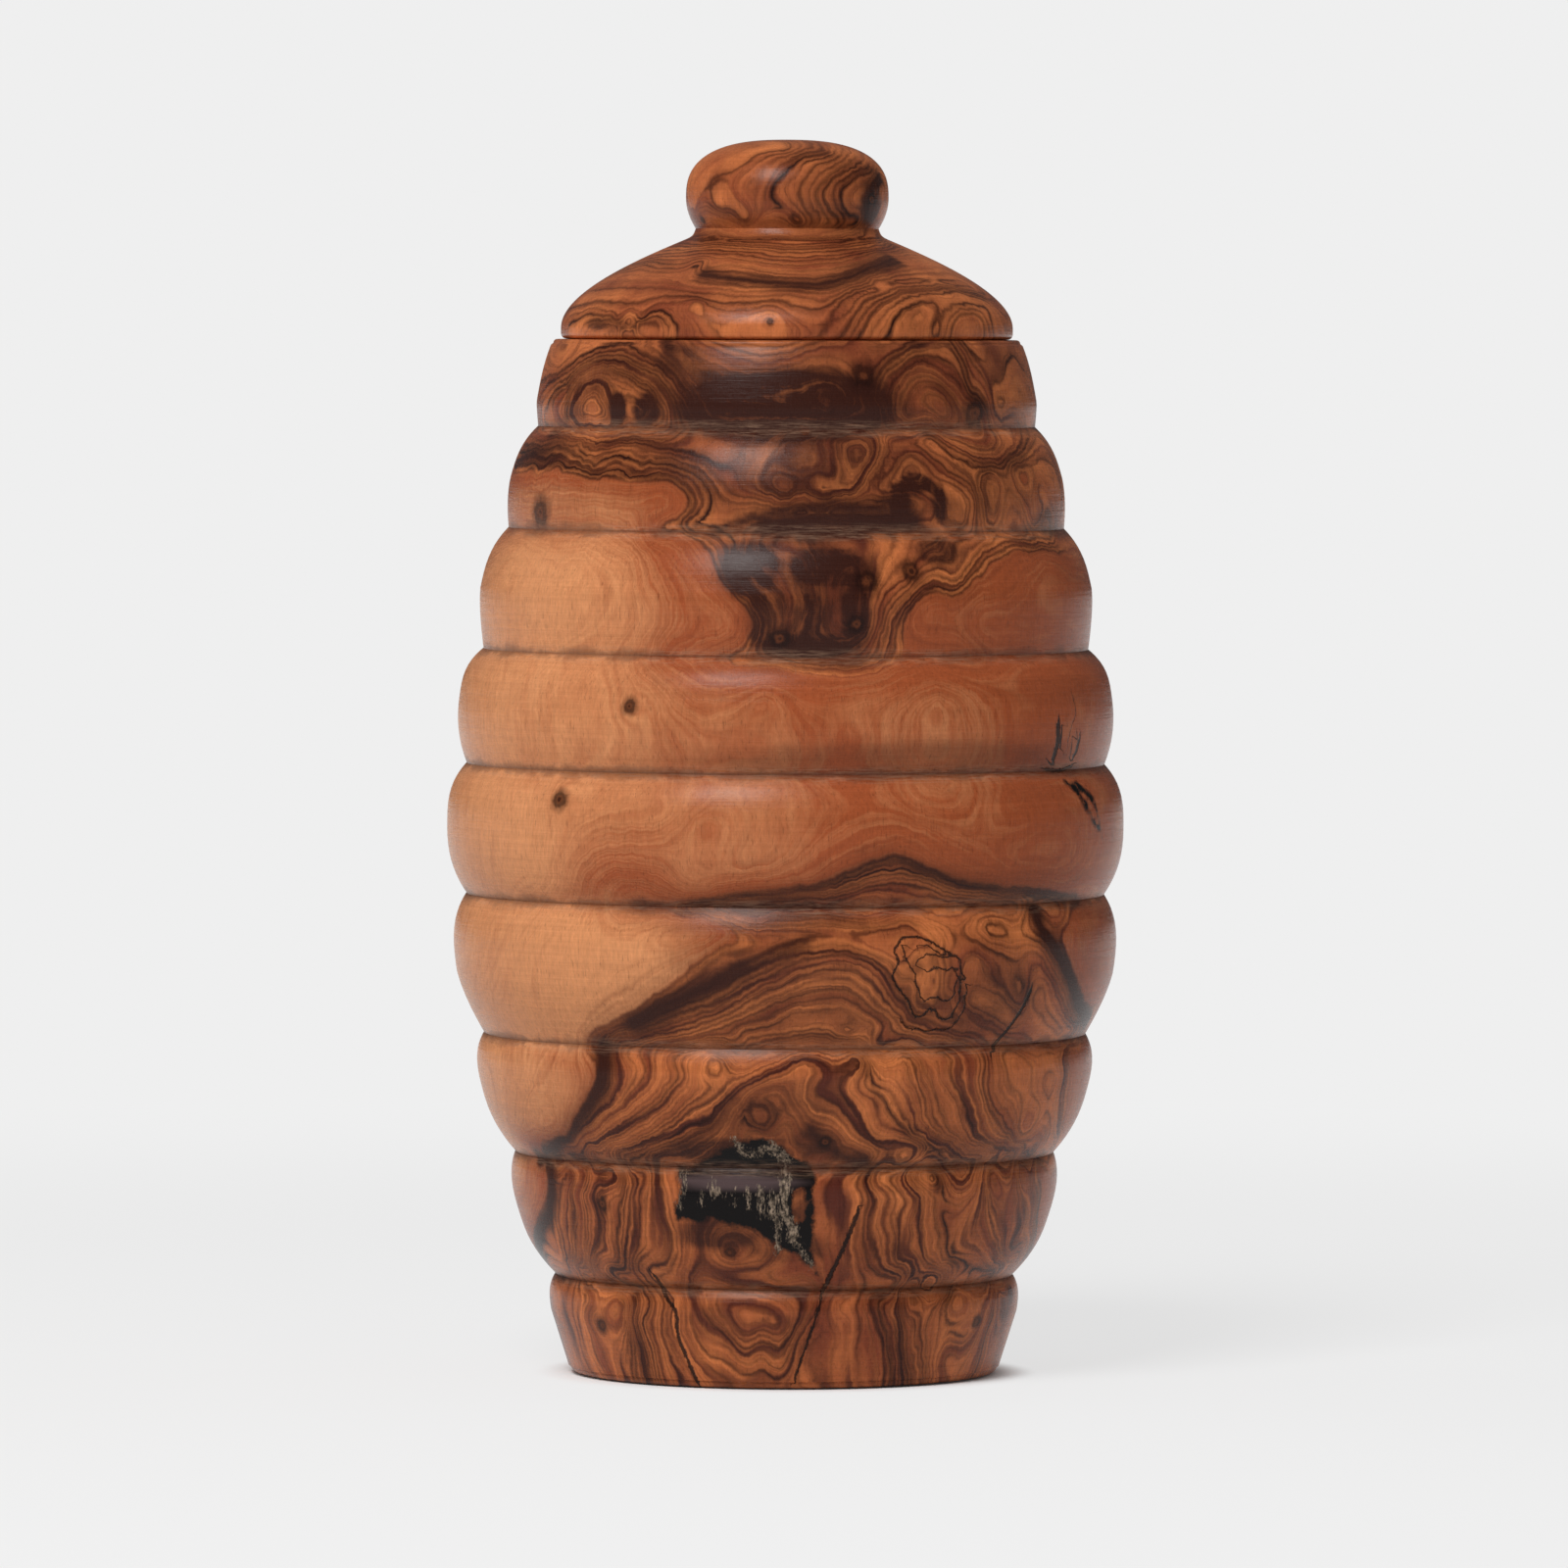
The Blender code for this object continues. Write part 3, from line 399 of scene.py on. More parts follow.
LID_STREAKS = tuple(Streak(*row) for row in (
    # The knob
    (0, 0.6, 0.5, ((-5.5, 152.9), (-7, 154.2), (-9.8, 155), (-10.4, 157), (-9, 158.8),
        (-6.6, 159.5), (-4, 161.5), (0, 162.3))),
    (2, 0, 0.5, ((-5, 157), (-3, 159.5), (-4, 155))),
    (4, 0.85, 0.9, ((5, 161.9), (1.6, 161.2), (0, 159.6), (-1.5, 157.6), (-2, 156.3), (-1, 155),
        (0.8, 153.5), (1.5, 152.5))),
    (6, 0.6, 0.6, ((6.5, 161.4), (3.5, 160), (2, 158), (1.5, 156), (2.5, 154.5), (3.3, 153))),
    (8, 0.65, 0.6, ((8.4, 160.9), (6, 159.6), (4.2, 157.5), (3.7, 155.8), (4.6, 154),
        (5.6, 152.7))),
    (9, 0.75, 0.7, ((9.6, 160.6), (7.4, 159.7), (5.4, 158), (4.7, 156), (5.5, 154.2),
        (6.8, 152.7))),
    (11, 0.8, 0.9, ((11, 159.8), (9, 159), (7.3, 157.5), (6.8, 156), (7.5, 154), (9, 152.8))),
    (14, 0.9, 1.6, ((12.2, 158.4), (10.9, 157), (10.2, 155.5), (10.6, 153.8))),
    (-1, 0, 0.5, ((-12.2, 158), (-12.6, 155))),
    # The cove and the top of the dome
    (15, 0.7, 0.6, ((-13, 150.5), (-5, 150.4), (4, 150.3), (12, 150.7))),
    (13, 0.6, 0.5, ((-15, 149.4), (-9, 149.7), (-4, 149.4), (0, 149), (5, 149.2), (11, 150))),
    (11, 0.6, 0.5, ((-17, 148.4), (-11, 149), (-6, 148.8), (-2, 148.2), (2, 148), (6, 148.2),
        (10, 149), (14, 149.8))),
    (9, 0.3, 0.5, ((-8, 148), (-3, 147.2), (2, 146.9), (7, 147.4), (12, 148.8))),
    (8, 0.6, 0.7, ((-23, 146.2), (-18, 147.4), (-14.5, 147), (-12, 147.6), (-10.6, 146.6))),
    (6, 0.75, 1.25, ((-11, 145.8), (-7, 145.2), (-3, 144.9), (1, 144.5), (4, 144.4), (7, 145.2),
        (10, 146.4), (14, 147.8))),
    (4.6, 0, 1, ((-18, 145.4), (-12, 144.5), (-6, 144))),
    # The dome's middle and left
    (2, 0.55, 0.5, ((-29, 141), (-25, 142.2), (-20, 142), (-17, 142.8), (-12, 142.8), (-9, 142),
        (-5, 141.9), (-1, 142.3), (1, 141.5), (4, 141.1), (7, 142.6), (9, 144), (13, 145))),
    (3, 0.3, 0.5, ((-26, 143.6), (-21, 144.1), (-16, 143.8), (-10, 143.2), (-5, 142.8), (0, 142.9),
        (4, 142.4))),
    (1, 0.3, 0.5, ((-14.5, 142), (-13.4, 140.5), (-13, 138.4))),
    (0, 0.3, 0.5, ((-11.5, 142), (-10, 140), (-9, 138.3))),
    (-1, 0, 0.5, ((-3, 139.8), (-5, 138.6))),
    # The dome's right, with the eye at its edge
    (1, 0.55, 0.6, ((4.5, 138), (5.5, 140), (7, 142), (9, 143.5), (12, 144.8), (16, 145.4),
        (22, 145))),
    (2, 0.55, 0.6, ((7, 138), (8.5, 140.5), (10.5, 142.6), (14, 144), (20, 144.5), (26, 143.4))),
    (4, 0.7, 0.7, ((9.6, 138), (10.6, 140), (12.2, 142), (15, 143.3), (18, 143.8), (22, 143.9),
        (26, 142.8))),
    (6, 0.85, 0.9, ((13.4, 137.8), (13.8, 139.5), (15, 141), (17, 142.1), (19.2, 142.5), (20, 141),
        (19, 139))),
    (7, 0, 0.5, ((16, 139.5), (17, 141))),
    (6, 0.65, 0.6, ((19.8, 138), (20.2, 140.4), (21.2, 141.9), (24, 142.1), (26.4, 141.3),
        (27, 139))),
    (8, 0.6, 0.6, ((21.5, 138), (21.8, 139.8), (22.6, 140.7), (25, 140.7), (25.8, 139.8),
        (26, 138))),
    (9, 0, 0.5, ((23.8, 139),)),
    (5, 0.3, 0.5, ((28.8, 139),)),
    # The burrs at the left edge
    (0, 0.8, 0.7, ((-28.6, 139.3), (-26, 140.4), (-23, 140), (-21.4, 138.8))),
    (0, 0.8, 0.7, ((-20, 138.9), (-18.4, 140.5), (-17, 141), (-15.5, 140.5), (-14.4, 138.8))),
    (-2, 0.45, 0.7, ((-25, 138.8), (-17.4, 139.2))),
))

# The lid's dark stains
LID_PATCHES = tuple(Patch(*row) for row in (
    (2, 144.4, 8, 1.3, 0.35), (-25, 139.2, 3, 0.9, 0.6), (-17.4, 139.6, 2.4, 0.9, 0.4),
    (11.5, 155, 2.2, 3.4, 0.75), (9, 146.6, 3.5, 0.9, 0.35),
))

# The pot's knots, cracks, and the pocket of black bark at its front
POT_KNOTS = (
    Knot(-51, 7.5, 1.0), Knot(-12, 18.2, 0.9), Knot(-41.5, 24, 1.1), Knot(8, 33, 0.9),
    Knot(-41.5, 77.3, 1.2), Knot(-28, 89.7, 1.0), Knot(-1, 98.5, 1.4), Knot(15, 106, 1.7),
    Knot(24, 107.3, 1.3), Knot(13, 100.5, 1.3), Knot(-61, 114.5, 1.9), Knot(18, 132.7, 1.8),
    Knot(48, 127.7, 1.9), Knot(55.5, 8, 0.9), Knot(118, 60, 1.6), Knot(-150, 84, 1.8),
    Knot(160, 108, 1.3), Knot(-128, 30, 1.2), Knot(96, 88, 1.2), Knot(-104, 72, 1.4),
)

POT_CRACKS = (
    Slit(0.62, ((15.4, 23.4), (13.6, 20), (11.6, 16.5), (9.6, 13))),
    Slit(0.32, ((9.4, 12.6), (8, 10), (5.5, 5.5), (3, 1.5))),
    Slit(0.50, ((-32, 14.6), (-31, 12.6), (-26.6, 10), (-27, 6.5), (-23.4, 0.6))),
    Slit(0.60, ((47.6, 52), (47, 50), (45, 47.2), (42.6, 44.8))),
    Slit(0.95, ((55, 86.8), (55.3, 85), (54.8, 82.6))),
    Slit(0.12, ((60.6, 90.4), (61.4, 88.6), (59, 86.4), (58.6, 84.4))),
    Slit(0.75, ((62.6, 84.6), (62.2, 83.2))),
    Slit(0.40, ((53, 81.2), (57, 80.8), (62, 81.4))),
    Slit(0.28, (
        (18.7, 58.2), (20.2, 59.8), (23.2, 60), (26, 59.1), (28.2, 58), (31.4, 56.9), (31, 55.6),
        (32.4, 54.4), (31.2, 53), (32.2, 51.6), (31.2, 50.4), (30.8, 48.9), (28.2, 49.2),
        (26.6, 51), (24.7, 49), (22.6, 50), (22.2, 51.4), (21, 52.2), (19.4, 53.6), (18.3, 55.2),
        (19.9, 56.7), (18.7, 58.2),
    )),
    Slit(0.22, (
        (20.8, 57.6), (21.4, 56.2), (22.8, 55.2), (22.6, 54), (23.6, 53), (24.4, 51.4),
        (26.9, 52.2), (28.6, 51.2), (30.8, 51.9), (30.2, 53.4), (31.2, 54.4), (29.8, 55.9),
        (28.2, 55.3), (26.6, 56.2), (25.4, 55.4),
    )),
    Slit(0.22, ((24, 57.2), (25.4, 58), (27, 57.2), (28.4, 57), (29.4, 57.6))),
    Slit(0.18, (
        (21.2, 48.8), (23, 47.6), (24.8, 47.9), (26.8, 47.2), (28.4, 48), (30.6, 47.4),
        (32.4, 48.6), (33.4, 50.6), (33, 52.6),
    )),
    Slit(0.40, ((150, 34), (154, 42), (152, 50))),
    Slit(0.35, ((-158, 120), (-152, 112), (-153, 104))),
)

BARK_OUTLINES = (
    (
        (-22.4, 29.2), (-21.6, 26), (-23.2, 24), (-23.4, 22.8), (-19, 22.2), (-15, 22.6),
        (-8, 21.6), (-3, 20.2), (0, 19), (3, 17.8), (7.6, 15.2), (6.6, 17.6), (5.6, 20), (6.2, 23),
        (5.6, 26.4), (7, 28.8), (5, 30), (1, 31.4), (-2, 33), (-6, 33.4), (-11, 32.2), (-16, 30.6),
        (-19, 29.8),
    ),
    ((57.2, 79.6), (61, 79.2), (65, 77.4), (67, 75), (68.6, 71.4), (64.4, 73.6), (61.2, 76)),
)

# Where the pot's lines curl in burrs, and where its wood is paler than they say, with a painted
# highlight on its bark
POT_BURRS = (
    Patch(25, 54.4, 5.0, 5.4, 0.6), Patch(-48, 122, 20, 3.6, 0.3), Patch(-4, 35.5, 10, 5, 0.42),
    Patch(10, 31.5, 5, 2.6, 0.4), Patch(29.5, 115, 4, 4, 0.5), Patch(12, 120.5, 7, 4, 0.25),
    Patch(-60, 119, 5, 3.5, 0.3), Patch(126, 84, 6, 7, 0.7),
    Patch(-172, 30, 7, 6, 0.5),
)

# The first oval is a painted highlight: over the bark pocket it lightens the black where the bead's
# crest faces the soft box.
POT_PALLOR_AND_BARK_HIGHLIGHT = (
    Patch(-10.5, 27.6, 9.5, 0.9, 0.8), Patch(-58, 114.6, 17, 4.0, 0.5), Patch(-58, 54, 38, 12, 1.0),
    Patch(-66, 39, 20, 7, 0.8), Patch(-70, 26, 8, 6, 0.3),
)

# Wood that stands in the bark, and the pale fibres that lie on it
BARK_ISLANDS = (
    ((2.2, 26.4), (1.8, 24), (2.6, 22.4), (4.2, 22.4), (5, 24.2), (4.4, 26.6)),
    ((61, 78.2), (64, 77.2), (65.6, 75.2), (66, 73.8), (63.6, 75)),
)

BARK_FIBRES = (
    Slit(0.8, ((-21.4, 28.6), (-21, 26.6), (-22.4, 24.2))),
    Slit(0.9, ((-15, 27.4), (-14.8, 25.8))),
    Slit(0.8, ((-13.4, 27.2), (-13.2, 26))),
    Slit(0.5, ((-17.4, 26.4), (-17.4, 24.6))),
    Slit(0.6, ((-10.4, 26.6), (-10.4, 24.6))),
    Slit(0.7, ((-7.6, 26.6), (-7.2, 24.2))),
    Slit(0.9, ((-5, 26.8), (-4.6, 23.4))),
    Slit(1.0, ((-2, 26.4), (-2.6, 23))),
    Slit(1.1, ((-9.6, 33.4), (-8, 31.2), (-5.6, 31.4), (-3.4, 32.6), (-1.6, 31.4), (0.6, 30.4))),
    Slit(0.9, ((-3, 33), (-1, 32), (1, 30.6))),
    Slit(1.5, ((0.4, 29.2), (0.2, 26.6), (-0.4, 24.4), (1, 22.4), (2.4, 21), (1.6, 20.2))),
    Slit(1.0, ((-0.4, 24), (-1.6, 21), (-1.4, 18.6))),
    Slit(0.8, ((1.6, 20.6), (3.4, 19), (5, 17.6), (6.6, 16.2))),
    Slit(0.5, ((62.4, 77.2), (64.2, 75.4))),
)

LID_KNOTS = (
    Knot(11.2, 155.7, 0.9), Knot(-11.2, 153, 0.5), Knot(-12, 146.8, 0.5), Knot(-2.2, 139.7, 0.5),
)


@dataclass(frozen=True)
class Survey:
    """Where a turned piece's vertices lie, one entry for each, lengths in mm."""

    around: Array
    height: Array
    radius: Array
    arc: Array
    run_out: Array
    run_up: Array
    skyline: Array


@dataclass(frozen=True)
class Figure:
    """The figure of one piece of wood, as fields that its surface is cut from.

    A smooth field counts the growth lines. It takes each streak's number along that streak, and
    `per_mm` more lines for each mm further from the axis, so every bead cuts it afresh.
    """

    lie: Lie
    streaks: tuple[Streak, ...]
    patches: tuple[Patch, ...] = ()
    knots: tuple[Knot, ...] = ()
    cracks: tuple[Slit, ...] = ()
    bark: tuple[tuple[Point, ...], ...] = ()
    islands: tuple[tuple[Point, ...], ...] = ()
    fibres: tuple[Slit, ...] = ()
    burrs: tuple[Patch, ...] = ()
    pallor: tuple[Patch, ...] = ()
    per_mm: float = 0.8
    datum_radius: float = 36.0
    drum_radius: float = 38.0
    core_radius: float = 20.0
    softness: float = 3.0
    station_gap: float = 2.5
    slack: float = 0.02
    knot_lift: float = 1.6
    knot_reach: float = 2.4
    skin_depth: float = 5.0
    far: float = 9.0

    def surface_radius(self, survey: Survey, heights: Array) -> Array:
        """The outside's radius at some heights, in mm."""
        return np.interp(heights, *survey.skyline.T)

    def stations(self, course: Sequence[Point], survey: Survey, gap: float) -> tuple[Array, ...]:
        """Evenly spaced places on a course.

        Args:
            course: The course's corners, as the tables give them.
            survey: The piece that the course runs over.
            gap: The distance between places, in mm.

        Returns:
            Degrees from the front, heights and radii of the places.
        """
        corners = np.array(course, float)
        reach = self.surface_radius(survey, corners[:, 1])
        if self.lie is Lie.FRONTAL:
            turn = np.degrees(np.arcsin(np.clip(corners[:, 0] / reach, -1.0, 1.0)))
        else:
            turn = np.degrees(np.unwrap(np.radians(corners[:, 0])))
        around = np.radians(turn) * reach
        runs = np.hypot(np.diff(around), np.diff(corners[:, 1]))
        length = np.concatenate([[0.0], np.cumsum(runs)])
        count = max(2, int(length[-1] / gap) + 1) if len(corners) > 1 else 1
        spots = np.linspace(0.0, length[-1], count)
        turns = np.interp(spots, length, turn)
        heights = np.interp(spots, length, corners[:, 1])
        return turns, heights, self.surface_radius(survey, heights)

    def placed(self, turns: Array, heights: Array, radii: Array) -> Array:
        """Places in the space that the field is smooth in: a drum, or the solid wood itself."""
        if self.lie is Lie.UNROLLED:
            radii = self.drum_radius * np.minimum(1.0, radii / self.core_radius)
        angle = np.radians(turns)
        return np.stack([radii * np.sin(angle), -radii * np.cos(angle), heights], axis=-1)

    def depth_lines(self, radii: Array) -> Array:
        """The lines that come from the distance to the axis alone."""
        return self.per_mm * (radii - self.datum_radius)

    def lines_and_pace(self, survey: Survey) -> tuple[Array, Array]:
        """Solves the field and reads it at every vertex.

        Args:
            survey: The piece.

        Returns:
            The line number at each vertex, and how many lines pass there in a mm of surface.
        """
        spots, values = [], []
        for streak in self.streaks:
            turns, heights, radii = self.stations(streak.course, survey, self.station_gap)
            spots.append(self.placed(turns, heights, radii))
            values.append(streak.line - self.depth_lines(radii))
        anchors, wanted = np.concatenate(spots), np.concatenate(values)
        count = len(anchors)
        apart = np.linalg.norm(anchors[:, None] - anchors[None], axis=-1)
        system = np.ones((count + 1, count + 1))
        system[:count, :count] = np.hypot(apart, self.softness) - self.slack * np.eye(count)
        system[count, count] = 0.0
        pulls = np.linalg.solve(system, np.append(wanted, 0.0))
        places = self.placed(survey.around, survey.height, survey.radius)
        lines, slopes = self.read_field(places, anchors, pulls)
        lines += self.depth_lines(survey.radius)
        return lines, self.surface_pace(survey, places, slopes)

    def read_field(self, places: Array, anchors: Array, pulls: Array) -> tuple[Array, Array]:
        """The solved field and its slope at some places.

        Args:
            places: Where to read it.
            anchors: The streaks' stations.
            pulls: Each station's pull, and the constant last.

        Returns:
            The field's values, and its slopes as vectors.
        """
        weights = pulls[:-1]
        values = np.empty(len(places))
        slopes = np.empty((len(places), 3))
        anchor_squares = (anchors**2).sum(axis=1)
        for start in range(0, len(places), FIELD_BATCH):
            part = slice(start, start + FIELD_BATCH)
            here = places[part]
            squares = (here**2).sum(axis=1)[:, None] + anchor_squares - 2.0 * here @ anchors.T
            reach = np.sqrt(np.maximum(squares, 0.0) + self.softness**2)
            values[part] = reach @ weights + pulls[-1]
            share = weights / reach
            slopes[part] = here * share.sum(axis=1)[:, None] - share @ anchors
        return values, slopes

    def surface_pace(self, survey: Survey, places: Array, slopes: Array) -> Array:
        """Lines in a mm of surface, from the field's slopes in the space that it is smooth in."""
        angle = np.radians(survey.around)
        sideways = slopes[:, 0] * np.cos(angle) + slopes[:, 1] * np.sin(angle)
        outwards = slopes[:, 0] * np.sin(angle) - slopes[:, 1] * np.cos(angle)
        radii = np.maximum(survey.radius, LEAST_RADIUS)
        if self.lie is Lie.UNROLLED:
            sideways = sideways * np.hypot(places[:, 0], places[:, 1]) / radii
            gain = self.drum_radius / self.core_radius
            outwards = np.where(radii < self.core_radius, outwards * gain, 0.0)
        outwards = outwards + self.per_mm
        along = outwards * survey.run_out + slopes[:, 2] * survey.run_up
        return np.hypot(sideways, along)

    def offsets(self, course: Sequence[Point], survey: Survey) -> Array:
        """How far in mm each vertex is from a course over the surface, less than 0 on its left."""
        turns, heights, _ = self.stations(course, survey, COURSE_STEP)
        nearest = np.clip(survey.height, heights.min(), heights.max())
        near = np.abs(survey.height - nearest) < self.far
        best = np.full(len(survey.around), self.far)
        if near.any():
            best[near] = np.clip(offset_from(survey, near, turns, heights), -self.far, self.far)
        return best

    def ink(self, survey: Survey) -> dict[str, Array]:
        """How strongly the wood is marked at each vertex.

        Args:
            survey: The piece.

        Returns:
            Fields: the darkness and the width of the line drawn there, how clear the lines between
            drawn ones are, and the darkness of the ground.
        """
        line, wide, clear, ground = (np.zeros(len(survey.around)) for _ in range(4))
        for streak in self.streaks:
            distance = np.abs(self.offsets(streak.course, survey))
            near = np.exp(-((distance / max(streak.width, LINE_REACH)) ** 2))
            line = np.maximum(line, streak.darkness * near)
            wide = np.maximum(wide, streak.width * near * (streak.darkness > 0.0))
            clear = np.maximum(clear, streak.darkness * np.exp(-((distance / CLEAR_REACH) ** 2)))
            if streak.width > BAR_WIDTH:
                bar = np.exp(-((BAR_TIGHTNESS * distance / streak.width) ** 2))
                ground = np.maximum(ground, streak.darkness * bar)
        ground = np.maximum(ground, self.ovals(self.patches, survey))
        depth = self.surface_radius(survey, survey.height) - survey.radius
        skin = np.exp(-((depth / self.skin_depth) ** 2))
        return {
            "line_ink": line * skin,
            "line_width": wide,
            "clarity": np.maximum(clear, HIDDEN_CLARITY * (1.0 - skin)),
            "ground_ink": ground * skin,
        }

    def ovals(self, patches: Sequence[Patch], survey: Survey) -> Array:
        """How strongly some patches cover each vertex."""
        cover = np.zeros(len(survey.around))
        for patch in patches:
            turns, heights, _ = self.stations(((patch.across, patch.height),), survey, COURSE_STEP)
            across = turned_mm(survey, turns[0])
            up = survey.height - heights[0]
            spread = np.hypot(across / patch.half_width, up / patch.half_height)
            edge = np.clip((PATCH_EDGE - spread) / (PATCH_EDGE - PATCH_HEART), 0.0, 1.0)
            cover = np.maximum(cover, patch.darkness * edge * edge * (3.0 - 2.0 * edge))
        return cover

    def knot_lift_at(self, survey: Survey) -> Array:
        """How many lines the knots push aside at each vertex."""
        lift = np.zeros(len(survey.around))
        for knot in self.knots:
            radii = np.abs(self.offsets(((knot.across, knot.height),), survey)) / knot.radius
            lift -= self.knot_lift * np.exp(-((radii / self.knot_reach) ** 2))
        return lift

    def knot_balls(self, survey: Survey) -> tuple[Ball, ...]:
        """Each knot's middle and radius in mm."""
        balls = []
        for knot in self.knots:
            place = ((knot.across, knot.height),)
            turns, heights, radii = self.stations(place, survey, COURSE_STEP)
            turn = math.radians(turns[0])
            middle = (radii[0] * math.sin(turn), -radii[0] * math.cos(turn), heights[0])
            balls.append((middle, knot.radius))
        return tuple(balls)

    def edge_distance(self, slits: Sequence[Slit], survey: Survey) -> Array:
        """The distance in mm to the nearest slit's edge, negative inside it."""
        best = np.full(len(survey.around), self.far)
        for slit in slits:
            best = np.minimum(best, np.abs(self.offsets(slit.course, survey)) - slit.width / 2)
        return best

    def crack_field(self, survey: Survey) -> tuple[Array, Array]:
        """The offset in mm from the nearest crack's middle, and half the crack's width there."""
        aside = np.full(len(survey.around), self.far)
        reach = np.full(len(survey.around), -1.0)
        for slit in self.cracks:
            offset = self.offsets(slit.course, survey)
            closer = np.abs(offset) < np.abs(aside)
            aside = np.where(closer, offset, aside)
            fade = np.clip(CRACK_FADE - np.abs(offset), -1.0, 0.0)
            reach = np.where(closer, slit.width / 2 + fade, reach)
        return aside, reach

    def region(self, outline: Sequence[Point], survey: Survey) -> Array:
        """The distance in mm to a closed outline, negative inside it."""
        closed = (*outline, outline[0])
        distance = np.abs(self.offsets(closed, survey))
        inside = np.zeros(len(survey.around), bool)
        for (left, low), (right, high) in zip(closed, closed[1:]):
            spans = (low > survey.height) != (high > survey.height)
            if high == low:
                continue
            crossing = left + (survey.height - low) * (right - left) / (high - low)
            inside ^= spans & (survey.around < crossing)
        inside &= self.surface_radius(survey, survey.height) - survey.radius < self.skin_depth
        return np.where(inside, -distance, distance)

    def write(self, piece: bpy.types.Object, survey: Survey) -> None:
        """Stores the figure on a piece's vertices, for its material to read."""
        lines, pace = self.lines_and_pace(survey)
        lift = self.knot_lift_at(survey)
        crack, crack_reach = self.crack_field(survey)
        bark = np.full(len(survey.around), self.far)
        for outline in self.bark:
            bark = np.minimum(bark, self.region(outline, survey))
        for outline in self.islands:
            bark = np.maximum(bark, -self.region(outline, survey))
        fields = {
            "lines": lines + lift,
            "pace": pace,
            **self.ink(survey),
            "burr": self.ovals(self.burrs, survey),
            "pallor": self.ovals(self.pallor, survey),
            "crack": crack,
            "crack_reach": crack_reach,
            "bark": bark,
            "fibre": self.edge_distance(self.fibres, survey),
            "arc": survey.arc,
        }
        for name, values in fields.items():
            layer = piece.data.attributes.new(name, "FLOAT", "POINT")
            layer.data.foreach_set("value", values.astype(np.float32))


def half_turned(degrees: Array) -> Array:
    """Angles brought to less than half a turn from 0, in degrees."""
    return (degrees + 180.0) % 360.0 - 180.0


def turned_mm(survey: Survey, turn: float) -> Array:
    """How far each vertex lies round the piece from a direction in degrees, in mm."""
    return np.radians(half_turned(survey.around - turn)) * np.maximum(survey.radius, LEAST_RADIUS)


def offset_from(survey: Survey, chosen: Array, turns: Array, heights: Array) -> Array:
    """The distance in mm from chosen vertices to a course of short straight runs.

    Args:
        survey: The piece.
        chosen: Which vertices to measure.
        turns: The course's places, in degrees from the front.
        heights: Their heights in mm.

    Returns:
        One distance for each chosen vertex, less than 0 on the course's left.
    """
    radius = np.maximum(survey.radius[chosen], LEAST_RADIUS)
    around, height = survey.around[chosen], survey.height[chosen]
    best = np.full(len(radius), np.inf)
    for number in range(max(len(turns) - 1, 1)):
        following = min(number + 1, len(turns) - 1)
        across = np.radians(half_turned(around - turns[number])) * radius
        up = height - heights[number]
        run = np.radians(turns[following] - turns[number]) * radius
        rise = heights[following] - heights[number]
        share = np.clip((across * run + up * rise) / (run**2 + rise**2 + TINY), 0.0, 1.0)
        gap = np.hypot(across - share * run, up - share * rise)
        side = np.where(across * rise < up * run, -1.0, 1.0)
        best = np.where(gap < np.abs(best), gap * side, best)
    return best


@dataclass(frozen=True)
class Outline:
    """Half a turned piece's section: (radius, height) points in metres, from axis to axis."""

    points: tuple[Point, ...]
    outside: tuple[Point, ...]
    finest: float
    coarsest: float

    def divided(self) -> list[Point]:
        """The points with more set between them, closer on the outside than elsewhere."""
        shown = set(self.outside)
        made = [self.points[0]]
        for start, end in zip(self.points, self.points[1:]):
            step = self.finest if start in shown and end in shown else self.coarsest
            count = max(1, math.ceil(math.dist(start, end) / step))
            for number in range(1, count + 1):
                share = number / count
                made.append(tuple(a + (b - a) * share for a, b in zip(start, end)))
        return made


def rounded(centre: Point, radius: float, start: float, end: float, steps: int) -> list[Point]:
    """Points on an arc.

    Args:
        centre: The arc's centre.
        radius: Its radius.
        start: Its first angle, in degrees from the radial direction.
        end: Its last angle.
        steps: How many runs it has.

    Returns:
        The points in order.
    """
    angles = [math.radians(start + (end - start) * step / steps) for step in range(steps + 1)]
    return [(centre[0] + radius * math.cos(a), centre[1] + radius * math.sin(a)) for a in angles]


def bezier(corners: Sequence[Point], steps: int) -> list[Point]:
    """Points on the cubic curve of four corners, its ends among them."""
    points = []
    for step in range(steps + 1):
        t = step / steps
        weights = ((1 - t) ** 3, 3 * t * (1 - t) ** 2, 3 * t * t * (1 - t), t**3)
        points.append(tuple(sum(w * c[i] for w, c in zip(weights, corners)) for i in range(2)))
    return points


